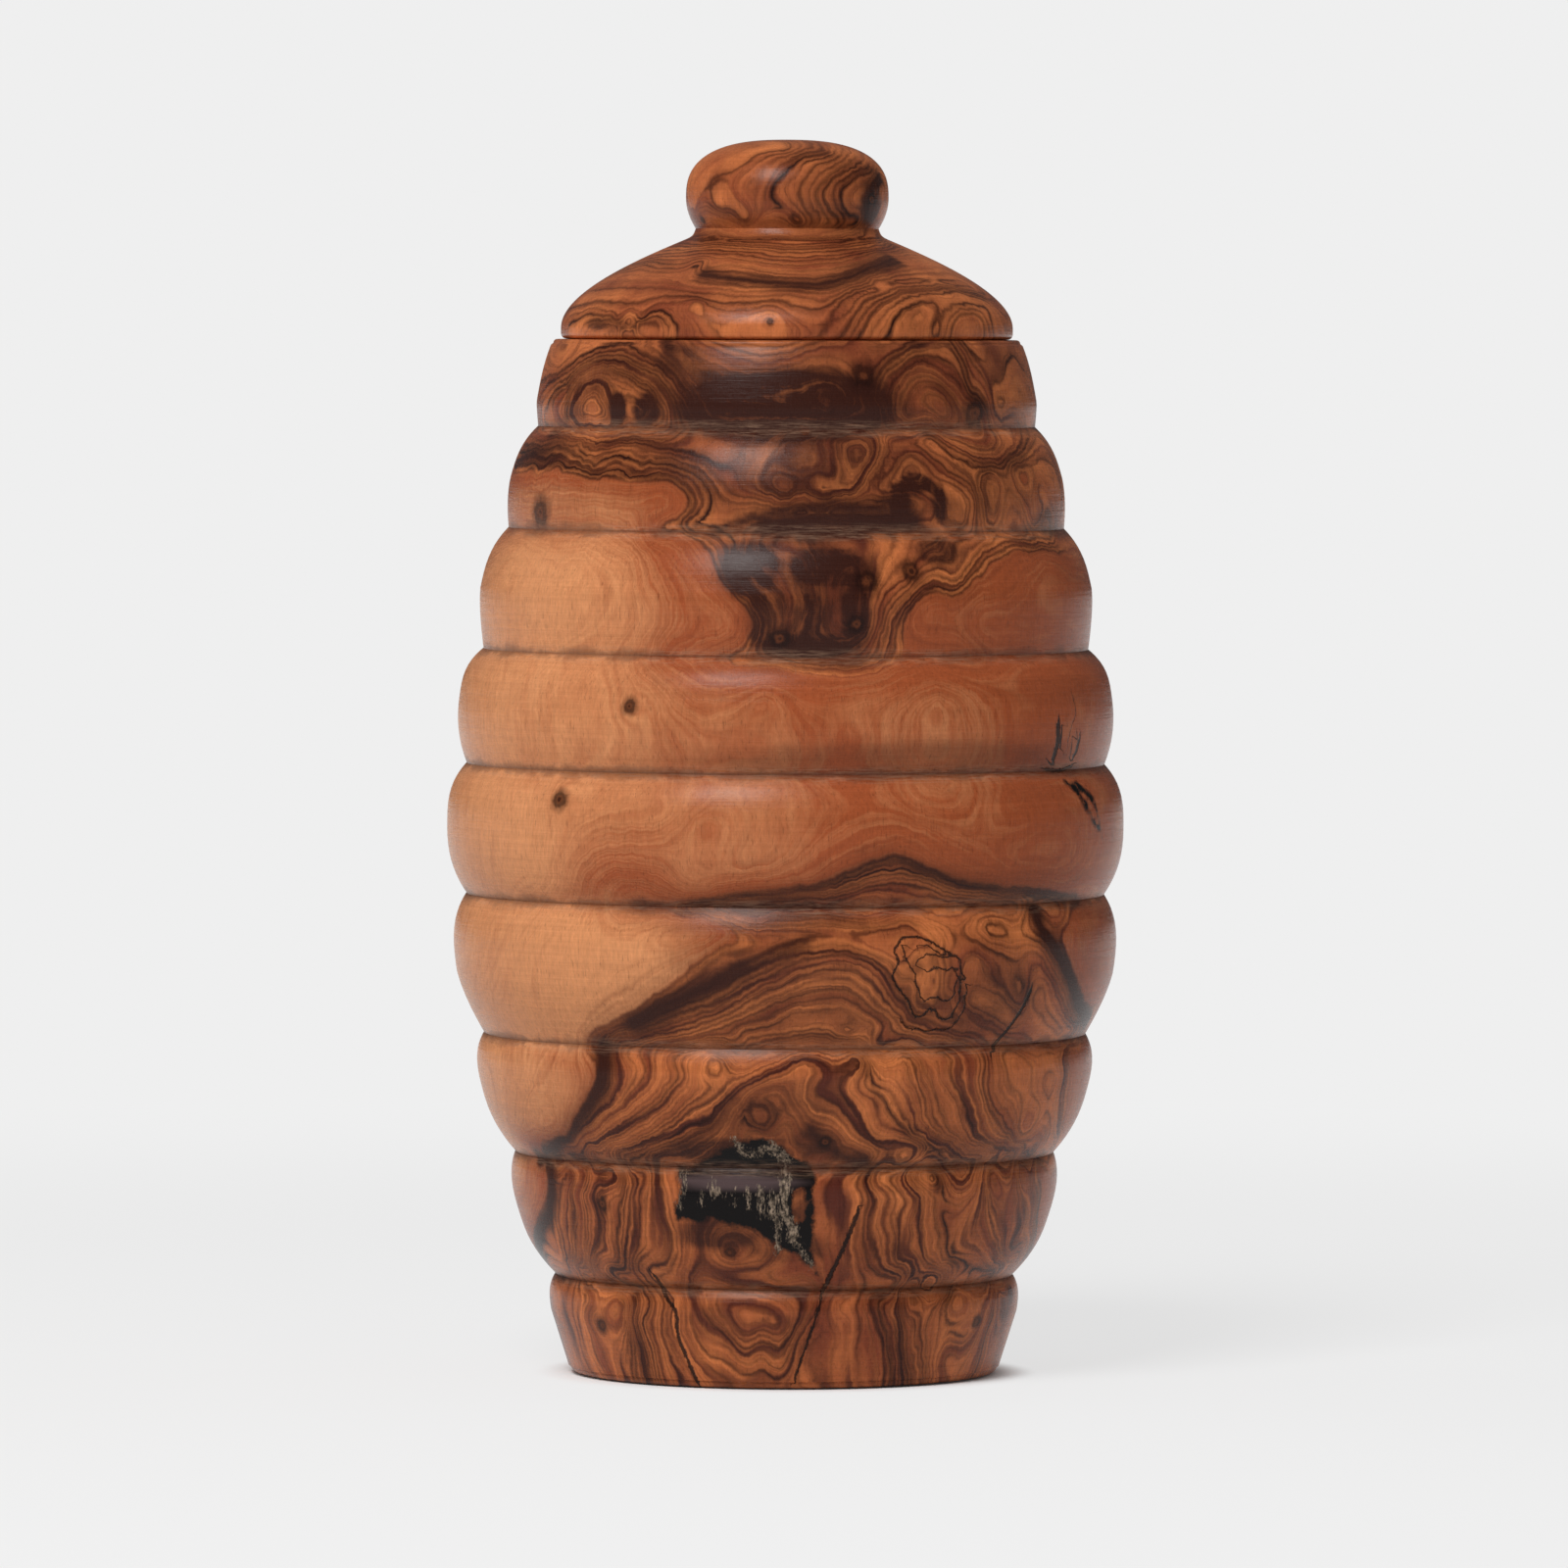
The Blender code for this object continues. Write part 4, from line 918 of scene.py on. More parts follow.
@dataclass
class Turning:
    """What every turned piece has: a section spun round the axis, and wood to dress it in."""

    name: str
    node: str
    body: str
    slot: str
    segments: int = 320
    finest: float = 0.9 * MM
    coarsest: float = 5.0 * MM

    def outline(self) -> Outline:
        """The piece's section."""
        raise NotImplementedError

    def figure(self) -> Figure:
        """The figure of the wood that the piece is turned from."""
        raise NotImplementedError

    def build(self) -> bpy.types.Object:
        """Turns the piece and marks its surface with the wood's figure.

        Returns:
            The finished mesh object, riding on its body in place of its CAD node.
        """
        profile = self.outline().divided()
        piece = self.spun(profile)
        survey = self.surveyed(piece, profile)
        wood = self.figure()
        wood.write(piece, survey)
        self.unwrap(piece, survey)
        self.dress(piece, wood.knot_balls(survey))
        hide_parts(self.node)
        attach(piece, self.body)
        LOG.info("%s: %d faces", self.name, len(piece.data.polygons))
        return piece

    def spun(self, profile: Sequence[Point]) -> bpy.types.Object:
        """Draws the section point by point, spins it and closes the result.

        Args:
            profile: The section's points.

        Returns:
            The turned object, its mesh in place.
        """
        bpy.ops.object.select_all(action="DESELECT")
        bpy.ops.mesh.primitive_plane_add(size=MM)
        piece = bpy.context.active_object
        piece.name = piece.data.name = self.name
        bpy.ops.object.mode_set(mode="EDIT")
        bpy.ops.mesh.select_all(action="SELECT")
        bpy.ops.mesh.merge(type="CENTER")
        bpy.ops.transform.translate(value=(0.0, profile[0][0], profile[0][1]))
        for start, end in zip(profile, profile[1:]):
            step = (0.0, end[0] - start[0], end[1] - start[1])
            bpy.ops.mesh.extrude_vertices_move(TRANSFORM_OT_translate={"value": step})
        bpy.ops.mesh.select_all(action="SELECT")
        bpy.ops.mesh.spin(
            steps=self.segments, angle=math.tau, center=(0.0, 0.0, 0.0), axis=(0.0, 0.0, 1.0)
        )
        bpy.ops.mesh.select_all(action="SELECT")
        bpy.ops.mesh.remove_doubles(threshold=MERGE_DISTANCE)
        bpy.ops.mesh.normals_make_consistent(inside=False)
        bpy.ops.object.mode_set(mode="OBJECT")
        bpy.ops.object.shade_smooth_by_angle(angle=SHARP_ANGLE)
        return piece

    def surveyed(self, piece: bpy.types.Object, profile: Sequence[Point]) -> Survey:
        """Finds each vertex on the section that it was turned from.

        Args:
            piece: The turned object.
            profile: The section's points.

        Returns:
            The survey of its vertices, in mm.
        """
        places = np.empty(len(piece.data.vertices) * 3)
        piece.data.vertices.foreach_get("co", places)
        places = places.reshape(-1, 3) / MM
        radius = np.hypot(places[:, 0], places[:, 1])
        section = np.array(profile) / MM
        runs = np.diff(section, axis=0)
        arcs = np.concatenate([[0.0], np.cumsum(np.hypot(*runs.T))])
        ways = np.gradient(section, arcs, axis=0)
        ways /= np.maximum(np.hypot(*ways.T), TINY)[:, None]
        where = np.empty(len(places), int)
        for start in range(0, len(places), SURVEY_BATCH):
            part = slice(start, start + SURVEY_BATCH)
            across = radius[part, None] - section[:, 0]
            up = places[part, 2, None] - section[:, 1]
            where[part] = np.hypot(across, up).argmin(axis=1)
        shown = self.outline().outside
        outside = np.array(sorted((height / MM, radius / MM) for radius, height in shown))
        return Survey(
            around=np.degrees(np.arctan2(places[:, 0], -places[:, 1])),
            height=places[:, 2],
            radius=radius,
            arc=arcs[where],
            run_out=ways[where, 0],
            run_up=ways[where, 1],
            skyline=outside,
        )

    def unwrap(self, piece: bpy.types.Object, survey: Survey) -> None:
        """Lays the surface out flat: round the piece across, along its section upwards.

        The outside takes the upper rows of the square and everything else the lower ones.

        Args:
            piece: The turned object.
            survey: The survey of its vertices.
        """
        mesh = piece.data
        corners = np.empty(len(mesh.loops), int)
        mesh.loops.foreach_get("vertex_index", corners)
        sizes = np.empty(len(mesh.polygons), int)
        mesh.polygons.foreach_get("loop_total", sizes)
        faces = np.repeat(np.arange(len(sizes)), sizes)
        angle = np.radians(survey.around)[corners]
        on_axis = survey.radius[corners] < AXIS_MM
        weight = np.where(on_axis, 0.0, 1.0)
        east = np.bincount(faces, weight * np.sin(angle))
        north = np.bincount(faces, weight * np.cos(angle))
        middle = np.degrees(np.arctan2(east, north))[faces]
        swing = half_turned(survey.around[corners] - middle)
        across = 0.5 + (middle + np.where(on_axis, 0.0, swing)) / 360.0
        arc = survey.arc[corners]
        face_arc = (np.bincount(faces, arc) / sizes)[faces]
        low, high = self.shown_arcs(survey)
        shown = (face_arc > low) & (face_arc < high)
        outer = SHOWN_FLOOR + (1.0 - SHOWN_FLOOR) * (arc - low) / (high - low)
        hidden_length = survey.arc.max() - (high - low)
        inner = SHOWN_FLOOR * np.where(face_arc < low, arc, arc - (high - low)) / hidden_length
        places = np.stack([across, np.where(shown, outer, inner)], axis=-1)
        layer = mesh.uv_layers.new(name=BAKE_MAP)
        layer.data.foreach_set("uv", np.clip(places, 0.0, 1.0).astype(np.float32).ravel())

    def shown_arcs(self, survey: Survey) -> Point:
        """Where the outside starts and ends along the section, in mm."""
        heights, radii = survey.skyline.T
        ends = []
        for height, radius in ((heights[0], radii[0]), (heights[-1], radii[-1])):
            gap = np.hypot(survey.height - height, survey.radius - radius)
            ends.append(float(survey.arc[gap.argmin()]))
        return min(ends), max(ends)

    def dress(self, piece: bpy.types.Object, knots: tuple[Ball, ...]) -> None:
        """Gives the piece its wood, with knots at the places and radii given."""
        raise NotImplementedError


@dataclass
class Pot(Turning):
    """The ribbed pot: nine turned beads between a foot and a rim, hollowed from the top."""

    name: str = "turned_pot"
    node: str = "pot_body"
    body: str = "pot"
    slot: str = "pot_wood"
    segments: int = 290
    height: float = 137.2 * MM
    belly_radius: float = 44.97 * MM
    rim_radius: float = 31.0 * MM
    foot_radius: float = 28.4 * MM
    rim_edge: float = 0.5 * MM
    foot_edge: float = 0.8 * MM
    groove_heights: tuple[float, ...] = (0.095, 0.214, 0.329, 0.464, 0.590, 0.701, 0.818, 0.916)
    groove_fullness: tuple[float, ...] = (0.120, 0.446, 0.699, 0.843, 0.814, 0.657, 0.421, 0.143)
    grooves_below_belly: int = 4
    bead_bulges: tuple[float, ...] = (0.103, 0.135, 0.142, 0.142, 0.150, 0.149, 0.130, 0.126, 0.067)
    bead_crests: tuple[float, ...] = (0.37, 0.57, 0.49, 0.54, 0.48, 0.40, 0.50, 0.48, 0.72)
    bead_falls: tuple[float, ...] = (1.0, 2.2, 2.3, 1.5, 2.4, 2.2, 1.3, 1.6, 1.1)
    bead_rise: float = 3.0
    bead_steps: int = 24
    wall: float = 8.8 * MM
    floor: float = 10.0 * MM
    cavity_corner: float = 5.0 * MM
    mouth_radius: float = 23.5 * MM
    mouth_depth: float = 10.0 * MM
    mouth_edge: float = 0.6 * MM
    shoulder_drop: float = 1.5 * MM
    foot_ring: float = 8.0 * MM
    foot_recess: float = 1.0 * MM
    foot_slope: float = 1.2 * MM
    cavity_steps: int = 26

    def grooves(self) -> list[Point]:
        """The bottom of each groove, between the foot and the rim."""
        points = [(self.foot_radius, 0.0)]
        for number, (share, fullness) in enumerate(zip(self.groove_heights, self.groove_fullness)):
            end = self.foot_radius if number < self.grooves_below_belly else self.rim_radius
            points.append((end + (self.belly_radius - end) * fullness, self.height * share))
        return [*points, (self.rim_radius, self.height)]

    def barrel_radius(self, height: float) -> float:
        """The barrel's radius at a height, on a smooth curve through the grooves."""
        stations = self.grooves()
        last = len(stations) - 2
        place = max(i for i in range(last + 1) if i == 0 or stations[i][1] <= height)
        low, high = stations[place], stations[place + 1]
        before, after = stations[max(place - 1, 0)], stations[min(place + 2, last + 1)]
        leave = (high[0] - before[0]) / (high[1] - before[1])
        arrive = (after[0] - low[0]) / (after[1] - low[1])
        span = high[1] - low[1]
        t = (height - low[1]) / span
        start = (1 + 2 * t) * (1 - t) ** 2 * low[0] + t * (1 - t) ** 2 * span * leave
        return start + t * t * (3 - 2 * t) * high[0] + t * t * (t - 1) * span * arrive

    def bead(self, number: int, low: Point, high: Point) -> list[Point]:
        """Points up one bead, from the groove under it to just short of the one over it."""
        rise = high[1] - low[1]
        crest = self.bead_crests[number]
        points = []
        for step in range(self.bead_steps):
            share = (1 - math.cos(math.pi * step / self.bead_steps)) / 2
            from_top = 1 - share
            if from_top < crest:
                fullness = 1 - ((crest - from_top) / crest) ** self.bead_rise
            else:
                fullness = 1 - ((from_top - crest) / (1 - crest)) ** self.bead_falls[number]
            chord = low[0] + (high[0] - low[0]) * share
            radius = chord + self.bead_bulges[number] * rise * fullness
            points.append((radius, low[1] + rise * share))
        return points

    def outside(self) -> list[Point]:
        """The outside, from the foot's rounded edge up to the rim's."""
        grooves = self.grooves()
        beads = []
        for number, (low, high) in enumerate(zip(grooves, grooves[1:])):
            beads += self.bead(number, low, high)
        sides = [p for p in beads if self.foot_edge < p[1] < self.height - self.rim_edge]
        foot_centre = (self.foot_radius - self.foot_edge, self.foot_edge)
        rim_centre = (self.rim_radius - self.rim_edge, self.height - self.rim_edge)
        foot = rounded(foot_centre, self.foot_edge, -90, 0, EDGE_STEPS)
        return foot + sides + rounded(rim_centre, self.rim_edge, 0, 90, EDGE_STEPS)

    def inside(self) -> list[Point]:
        """The mouth and the cavity, down to the middle of its floor."""
        mouth_centre = (self.mouth_radius + self.mouth_edge, self.height - self.mouth_edge)
        points = rounded(mouth_centre, self.mouth_edge, 90, 180, EDGE_STEPS)
        mouth_bottom = self.height - self.mouth_depth
        points.append((self.mouth_radius, mouth_bottom))
        top = mouth_bottom - self.shoulder_drop
        bottom = self.floor + self.cavity_corner
        for step in range(self.cavity_steps + 1):
            height = top + (bottom - top) * step / self.cavity_steps
            points.append((self.barrel_radius(height) - self.wall, height))
        corner_centre = (points[-1][0] - self.cavity_corner, bottom)
        points += rounded(corner_centre, self.cavity_corner, 0, -90, CORNER_STEPS)[1:]
        return [*points, (0.0, self.floor)]

    def outline(self) -> Outline:
        """The pot's section, from the middle of its underside to the middle of its floor."""
        ring = self.foot_radius - self.foot_ring
        recess = self.foot_recess
        underside = [(0.0, recess), (ring - self.foot_slope, recess), (ring, 0.0)]
        outside = self.outside()
        points = (*underside, *outside, *self.inside())
        return Outline(points, tuple(outside), self.finest, self.coarsest)

    def figure(self) -> Figure:
        """Pale sapwood on the left and all round the belly, dark heartwood at both ends."""
        return Figure(
            Lie.UNROLLED, POT_STREAKS, POT_STAINS_AND_SHADE, POT_KNOTS, POT_CRACKS,
            bark=BARK_OUTLINES, islands=BARK_ISLANDS, fibres=BARK_FIBRES, burrs=POT_BURRS,
            pallor=POT_PALLOR_AND_BARK_HIGHLIGHT,
        )

    def dress(self, piece: bpy.types.Object, knots: tuple[Ball, ...]) -> None:
        """Gives the pot its wood, with a crease wherever two beads meet."""
        creases = tuple(height / MM for _, height in self.grooves()[1:-1])
        piece.data.materials.append(OliveWood(creases, knots).material("waxed_olive_wood_pot"))


@dataclass
class Lid(Turning):
    """The lid: a spigot that drops into the mouth, a dome, and a knob on a short neck."""

    name: str = "turned_lid"
    node: str = "lid"
    body: str = "lid_with_dipper"
    slot: str = "lid_wood"
    segments: int = 288
    finest: float = 0.7 * MM
    coarsest: float = 1.6 * MM
    seat: float = 137.5 * MM
    seat_play: float = 0.25 * MM
    radius: float = 30.0 * MM
    height: float = 26.2 * MM
    edge_thickness: float = 1.2 * MM
    edge_round: float = 0.7 * MM
    knob_radius: float = 13.45 * MM
    knob_crown: float = 7.7 * MM
    knob_skirt: float = 4.1 * MM
    neck_inset: float = 1.3 * MM
    cove_width: float = 2.2 * MM
    cove_height: float = 1.8 * MM
    crown_power: float = 2.6
    skirt_power: float = 2.0
    dome_shoulder: float = 0.42
    dome_crown: float = 0.30
    dome_slope: float = 0.43
    cove_corner: Point = (0.16, 0.42)
    spigot_length: float = 8.0 * MM
    spigot_radius: float = 23.1 * MM
    spigot_chamfer: float = 0.8 * MM
    hole_radius: float = 3.5 * MM
    hole_depth: float = 10.3 * MM
    dome_steps: int = 44
    cove_steps: int = 12
    skirt_steps: int = 14
    crown_steps: int = 36

    def crest_height(self) -> float:
        """Where the knob is widest."""
        return self.seat + self.height - self.knob_crown

    def knob(self) -> list[Point]:
        """The knob, from its neck out to its crest and over to the middle of its top."""
        points = []
        for step in range(self.skirt_steps):
            depth = 1 - step / self.skirt_steps
            across = self.knob_radius - self.neck_inset * depth**self.skirt_power
            points.append((across, self.crest_height() - self.knob_skirt * depth))
        for step in range(self.crown_steps):
            angle = math.pi / 2 * step / self.crown_steps
            across = self.knob_radius * math.cos(angle) ** (2 / self.crown_power)
            rise = self.knob_crown * math.sin(angle) ** (2 / self.crown_power)
            points.append((across, self.crest_height() + rise))
        return [*points, (0.0, self.crest_height() + self.knob_crown)]

    def dome(self) -> list[Point]:
        """The dome from the flange's edge to its crown, and the cove from there to the neck."""
        neck = (self.knob_radius - self.neck_inset, self.crest_height() - self.knob_skirt)
        start = (self.radius, self.seat + self.edge_thickness)
        end = (neck[0] + self.cove_width, neck[1] - self.cove_height)
        shoulder = (self.radius, start[1] + (end[1] - start[1]) * self.dome_shoulder)
        reach = (start[0] - end[0]) * self.dome_crown
        crown = (end[0] + reach, end[1] - reach * self.dome_slope)
        across, up = self.cove_corner
        corner = (neck[0] + self.cove_width * across, end[1] + self.cove_height * up)
        cove = bezier((end, corner, corner, neck), self.cove_steps)
        return bezier((start, shoulder, crown, end), self.dome_steps) + cove[1:-1]

    def outline(self) -> Outline:
        """The lid's section, from the dipper's hole round its edge to the top of the knob."""
        under = self.seat - self.spigot_length
        rest = self.seat - self.seat_play
        hole_end = under + self.hole_depth
        below = [
            (0.0, hole_end), (self.hole_radius, hole_end), (self.hole_radius, under),
            (self.spigot_radius - self.spigot_chamfer, under),
            (self.spigot_radius, under + self.spigot_chamfer), (self.spigot_radius, rest),
        ]
        edge_centre = (self.radius - self.edge_round, rest + self.edge_round)
        edge = rounded(edge_centre, self.edge_round, -90, 0, EDGE_STEPS)
        outside = [*edge, *self.dome(), *self.knob()]
        return Outline((*below, *outside), tuple(outside), self.finest, self.coarsest)

    def figure(self) -> Figure:
        """Heartwood all over, with burrs at the lid's edge and a knot in the knob."""
        return Figure(
            Lie.FRONTAL, LID_STREAKS, LID_PATCHES, LID_KNOTS, per_mm=0.0, softness=1.2,
            station_gap=1.3,
        )

    def dress(self, piece: bpy.types.Object, knots: tuple[Ball, ...]) -> None:
        """Gives the lid its wood."""
        wood = OliveWood(knots=knots, faint=0.32, drawn=0.75, dusk=0.22)
        piece.data.materials.append(wood.material("waxed_olive_wood_lid"))


DIPPER_STREAKS = (
    Streak(43, 0.0, 0.5, ((-2.9, 20), (-2.9, 126))),
    Streak(41, 0.2, 0.5, ((-1.2, 22), (-1.4, 60), (-1.0, 124))),
    Streak(38, 0.4, 0.5, ((0.6, 22), (0.4, 70), (0.8, 124))),
    Streak(36, 0.3, 0.5, ((2.0, 22), (2.2, 80), (1.9, 124))),
    Streak(35, 0.0, 0.5, ((2.95, 20), (2.95, 126))),
)


@dataclass
class Dipper(Turning):
    """The honey dipper: a tenon in the lid, a slender handle and a head of seven discs."""

    name: str = "honey_dipper"
    node: str = "dipper"
    body: str = "lid_with_dipper"
    slot: str = "dipper_wood"
    segments: int = 96
    finest: float = 0.8 * MM
    coarsest: float = 2.0 * MM
    tip_height: float = 17.0 * MM
    head_length: float = 33.0 * MM
    head_radius: float = 9.8 * MM
    head_start: float = 0.16
    head_reach: float = 0.78
    head_bluntness: float = 0.55
    core_radius: float = 4.0 * MM
    discs: int = 7
    disc_share: float = 0.58
    edge_share: float = 0.22
    waist_radius: float = 3.1 * MM
    top_radius: float = 5.2 * MM
    collar: float = 3.0 * MM
    shoulder_height: float = 129.2 * MM
    tenon_radius: float = 3.2 * MM
    tenon_top: float = 139.5 * MM
    handle_steps: int = 30

    def head(self) -> list[Point]:
        """The head from its tip to its last disc, with a groove between each two discs."""
        pitch = self.head_length / self.discs
        disc = pitch * self.disc_share
        edge = disc * self.edge_share
        points = [(0.0, self.tip_height)]
        for number in range(self.discs):
            bottom = self.tip_height + pitch * number
            share = (number + 0.5) / self.discs
            swing = math.pi * (self.head_start + self.head_reach * share)
            radius = self.head_radius * math.sin(swing) ** self.head_bluntness
            if number:
                points.append((self.core_radius, bottom))
            points += rounded((radius - edge, bottom + edge), edge, -90, 0, EDGE_STEPS)
            points += rounded((radius - edge, bottom + disc - edge), edge, 0, 90, EDGE_STEPS)
            if number < self.discs - 1:
                points.append((self.core_radius, bottom + disc))
        return points

    def outline(self) -> Outline:
        """The dipper's section, from its tip to the top of its tenon."""
        points = self.head()
        bottom, collar_bottom = points[-1][1], self.shoulder_height - self.collar
        points.append((self.waist_radius, bottom))
        for step in range(self.handle_steps + 1):
            share = step / self.handle_steps
            swell = (1 - math.cos(math.pi * share)) / 2
            radius = self.waist_radius + (self.top_radius - self.waist_radius) * swell
            points.append((radius, bottom + (collar_bottom - bottom) * (1 + share) / 2))
        points.append((self.top_radius, self.shoulder_height))
        shown = tuple(points)
        points += [
            (self.tenon_radius, self.shoulder_height),
            (self.tenon_radius, self.tenon_top),
            (0.0, self.tenon_top),
        ]
        return Outline(tuple(points), shown, self.finest, self.coarsest)

    def figure(self) -> Figure:
        """Straight grain along the handle."""
        return Figure(Lie.FRONTAL, DIPPER_STREAKS, per_mm=0.0, softness=2.0)

    def dress(self, piece: bpy.types.Object, knots: tuple[Ball, ...]) -> None:
        """Gives the dipper its wood."""
        piece.data.materials.append(OliveWood(knots=knots).material("oiled_olive_wood_dipper"))


def linear(colour: str) -> tuple[float, float, float, float]:
    """An sRGB hex colour as the linear one that a shader takes, on the sRGB standard's curve."""
    shares = [int(colour[i : i + 2], 16) / 255 for i in (1, 3, 5)]
    toned = [s / 12.92 if s <= 0.04045 else ((s + 0.055) / 1.055) ** 2.4 for s in shares]
    return (*toned, 1.0)


@dataclass
class Recipe:
    """A material's or the world's node tree as it is written."""

    tree: bpy.types.NodeTree

    def add(
        self, kind: str, wires: Mapping[Any, Any] | Sequence[Any] = (), operation: str = "",
        **settings: Any,
    ) -> bpy.types.Node:
        """Adds one node.

        Args:
            kind: Its type, without the ShaderNode in front.
            wires: What each input takes, by place or by name: a node, a socket or a value.
            operation: Which sum it does, for the kinds that do several.
            **settings: Its other settings.

        Returns:
            The node.
        """
        node = self.tree.nodes.new("ShaderNode" + kind)
        if operation:
            settings["operation"] = operation
        for name, value in settings.items():
            setattr(node, name, value)
        named = wires.items() if isinstance(wires, Mapping) else enumerate(wires)
        for place, value in named:
            if isinstance(value, bpy.types.Node):
                value = next(output for output in value.outputs if output.enabled)
            if isinstance(value, bpy.types.NodeSocket):
                self.tree.links.new(value, node.inputs[place])
            else:
                node.inputs[place].default_value = value
        return node


class Ramp(NamedTuple):
    """A change from `first` to `last` while what it follows goes from `low` to `high`."""

    low: float
    high: float
    first: float = 0.0
    last: float = 1.0


class Mottle(NamedTuple):
    """Noise whose grains have a size in mm along each axis, centred on 0 or left on a half."""

    grains: tuple[float, float, float]
    detail: float
    roughness: float
    centred: bool = False


class Drift(NamedTuple):
    """Noise drawn out along what it follows: how much it changes in a mm, and in a step of that."""

    per_mm: tuple[float, float, float]
    per_step: float
    detail: float
    roughness: float


Adder = Callable[..., bpy.types.Node]
Marks = dict[str, Any]
Layers = list[tuple[Any, Any]]
SMOOTH = {"interpolation_type": "SMOOTHSTEP"}

# What Figure.write stores on every vertex
FIELDS = (
    "lines", "pace", "line_ink", "line_width", "clarity", "ground_ink", "burr", "pallor", "crack",
    "crack_reach", "bark", "fibre", "arc",
)

# The noises in the wood: the lines' sway, jitter and curls in burrs, where faint lines show, the
# ground's tone, threads and pores, the edges of stains, painted shade and flaws, and the polished
# surface's weave
MOTTLES = {
    "sway": Mottle((6.0, 6.0, 9.0), 3.0, 0.52, centred=True),
    "jitter": Mottle((1.4, 1.4, 2.2), 2.0, 0.5, centred=True),
    "curl": Mottle((4.5, 4.5, 4.5), 1.5, 0.5, centred=True),
    "patchy": Mottle((8.0, 8.0, 14.0), 2.0, 0.5),
    "tone": Mottle((11.0, 11.0, 20.0), 3.0, 0.55, centred=True),
    "thread": Mottle((0.5, 0.5, 2.2), 4.0, 0.75),
    "pore": Mottle((0.22, 0.22, 1.5), 1.0, 0.5),
    "stain_and_shade_edge": Mottle((2.4, 2.4, 3.6), 4.0, 0.65, centred=True),
    "flaw_edge": Mottle((2.0, 2.0, 2.8), 4.0, 0.65, centred=True),
    "grit": Mottle((0.5, 0.5, 0.9), 3.0, 0.7, centred=True),
    "shred": Mottle((0.3, 0.3, 1.2), 3.0, 0.7, centred=True),
    "weave": Mottle((0.35, 0.35, 2.4), 3.0, 0.65),
}

# The noises in the creases: specks of dust, and the ragged edge of the painted shade under them
CREASE_MOTTLES = {
    "speck": Mottle((3.0, 3.0, 0.2), 4.0, 0.75),
    "crease_shade": Mottle((5.0, 5.0, 5.0), 4.0, 0.65),
}


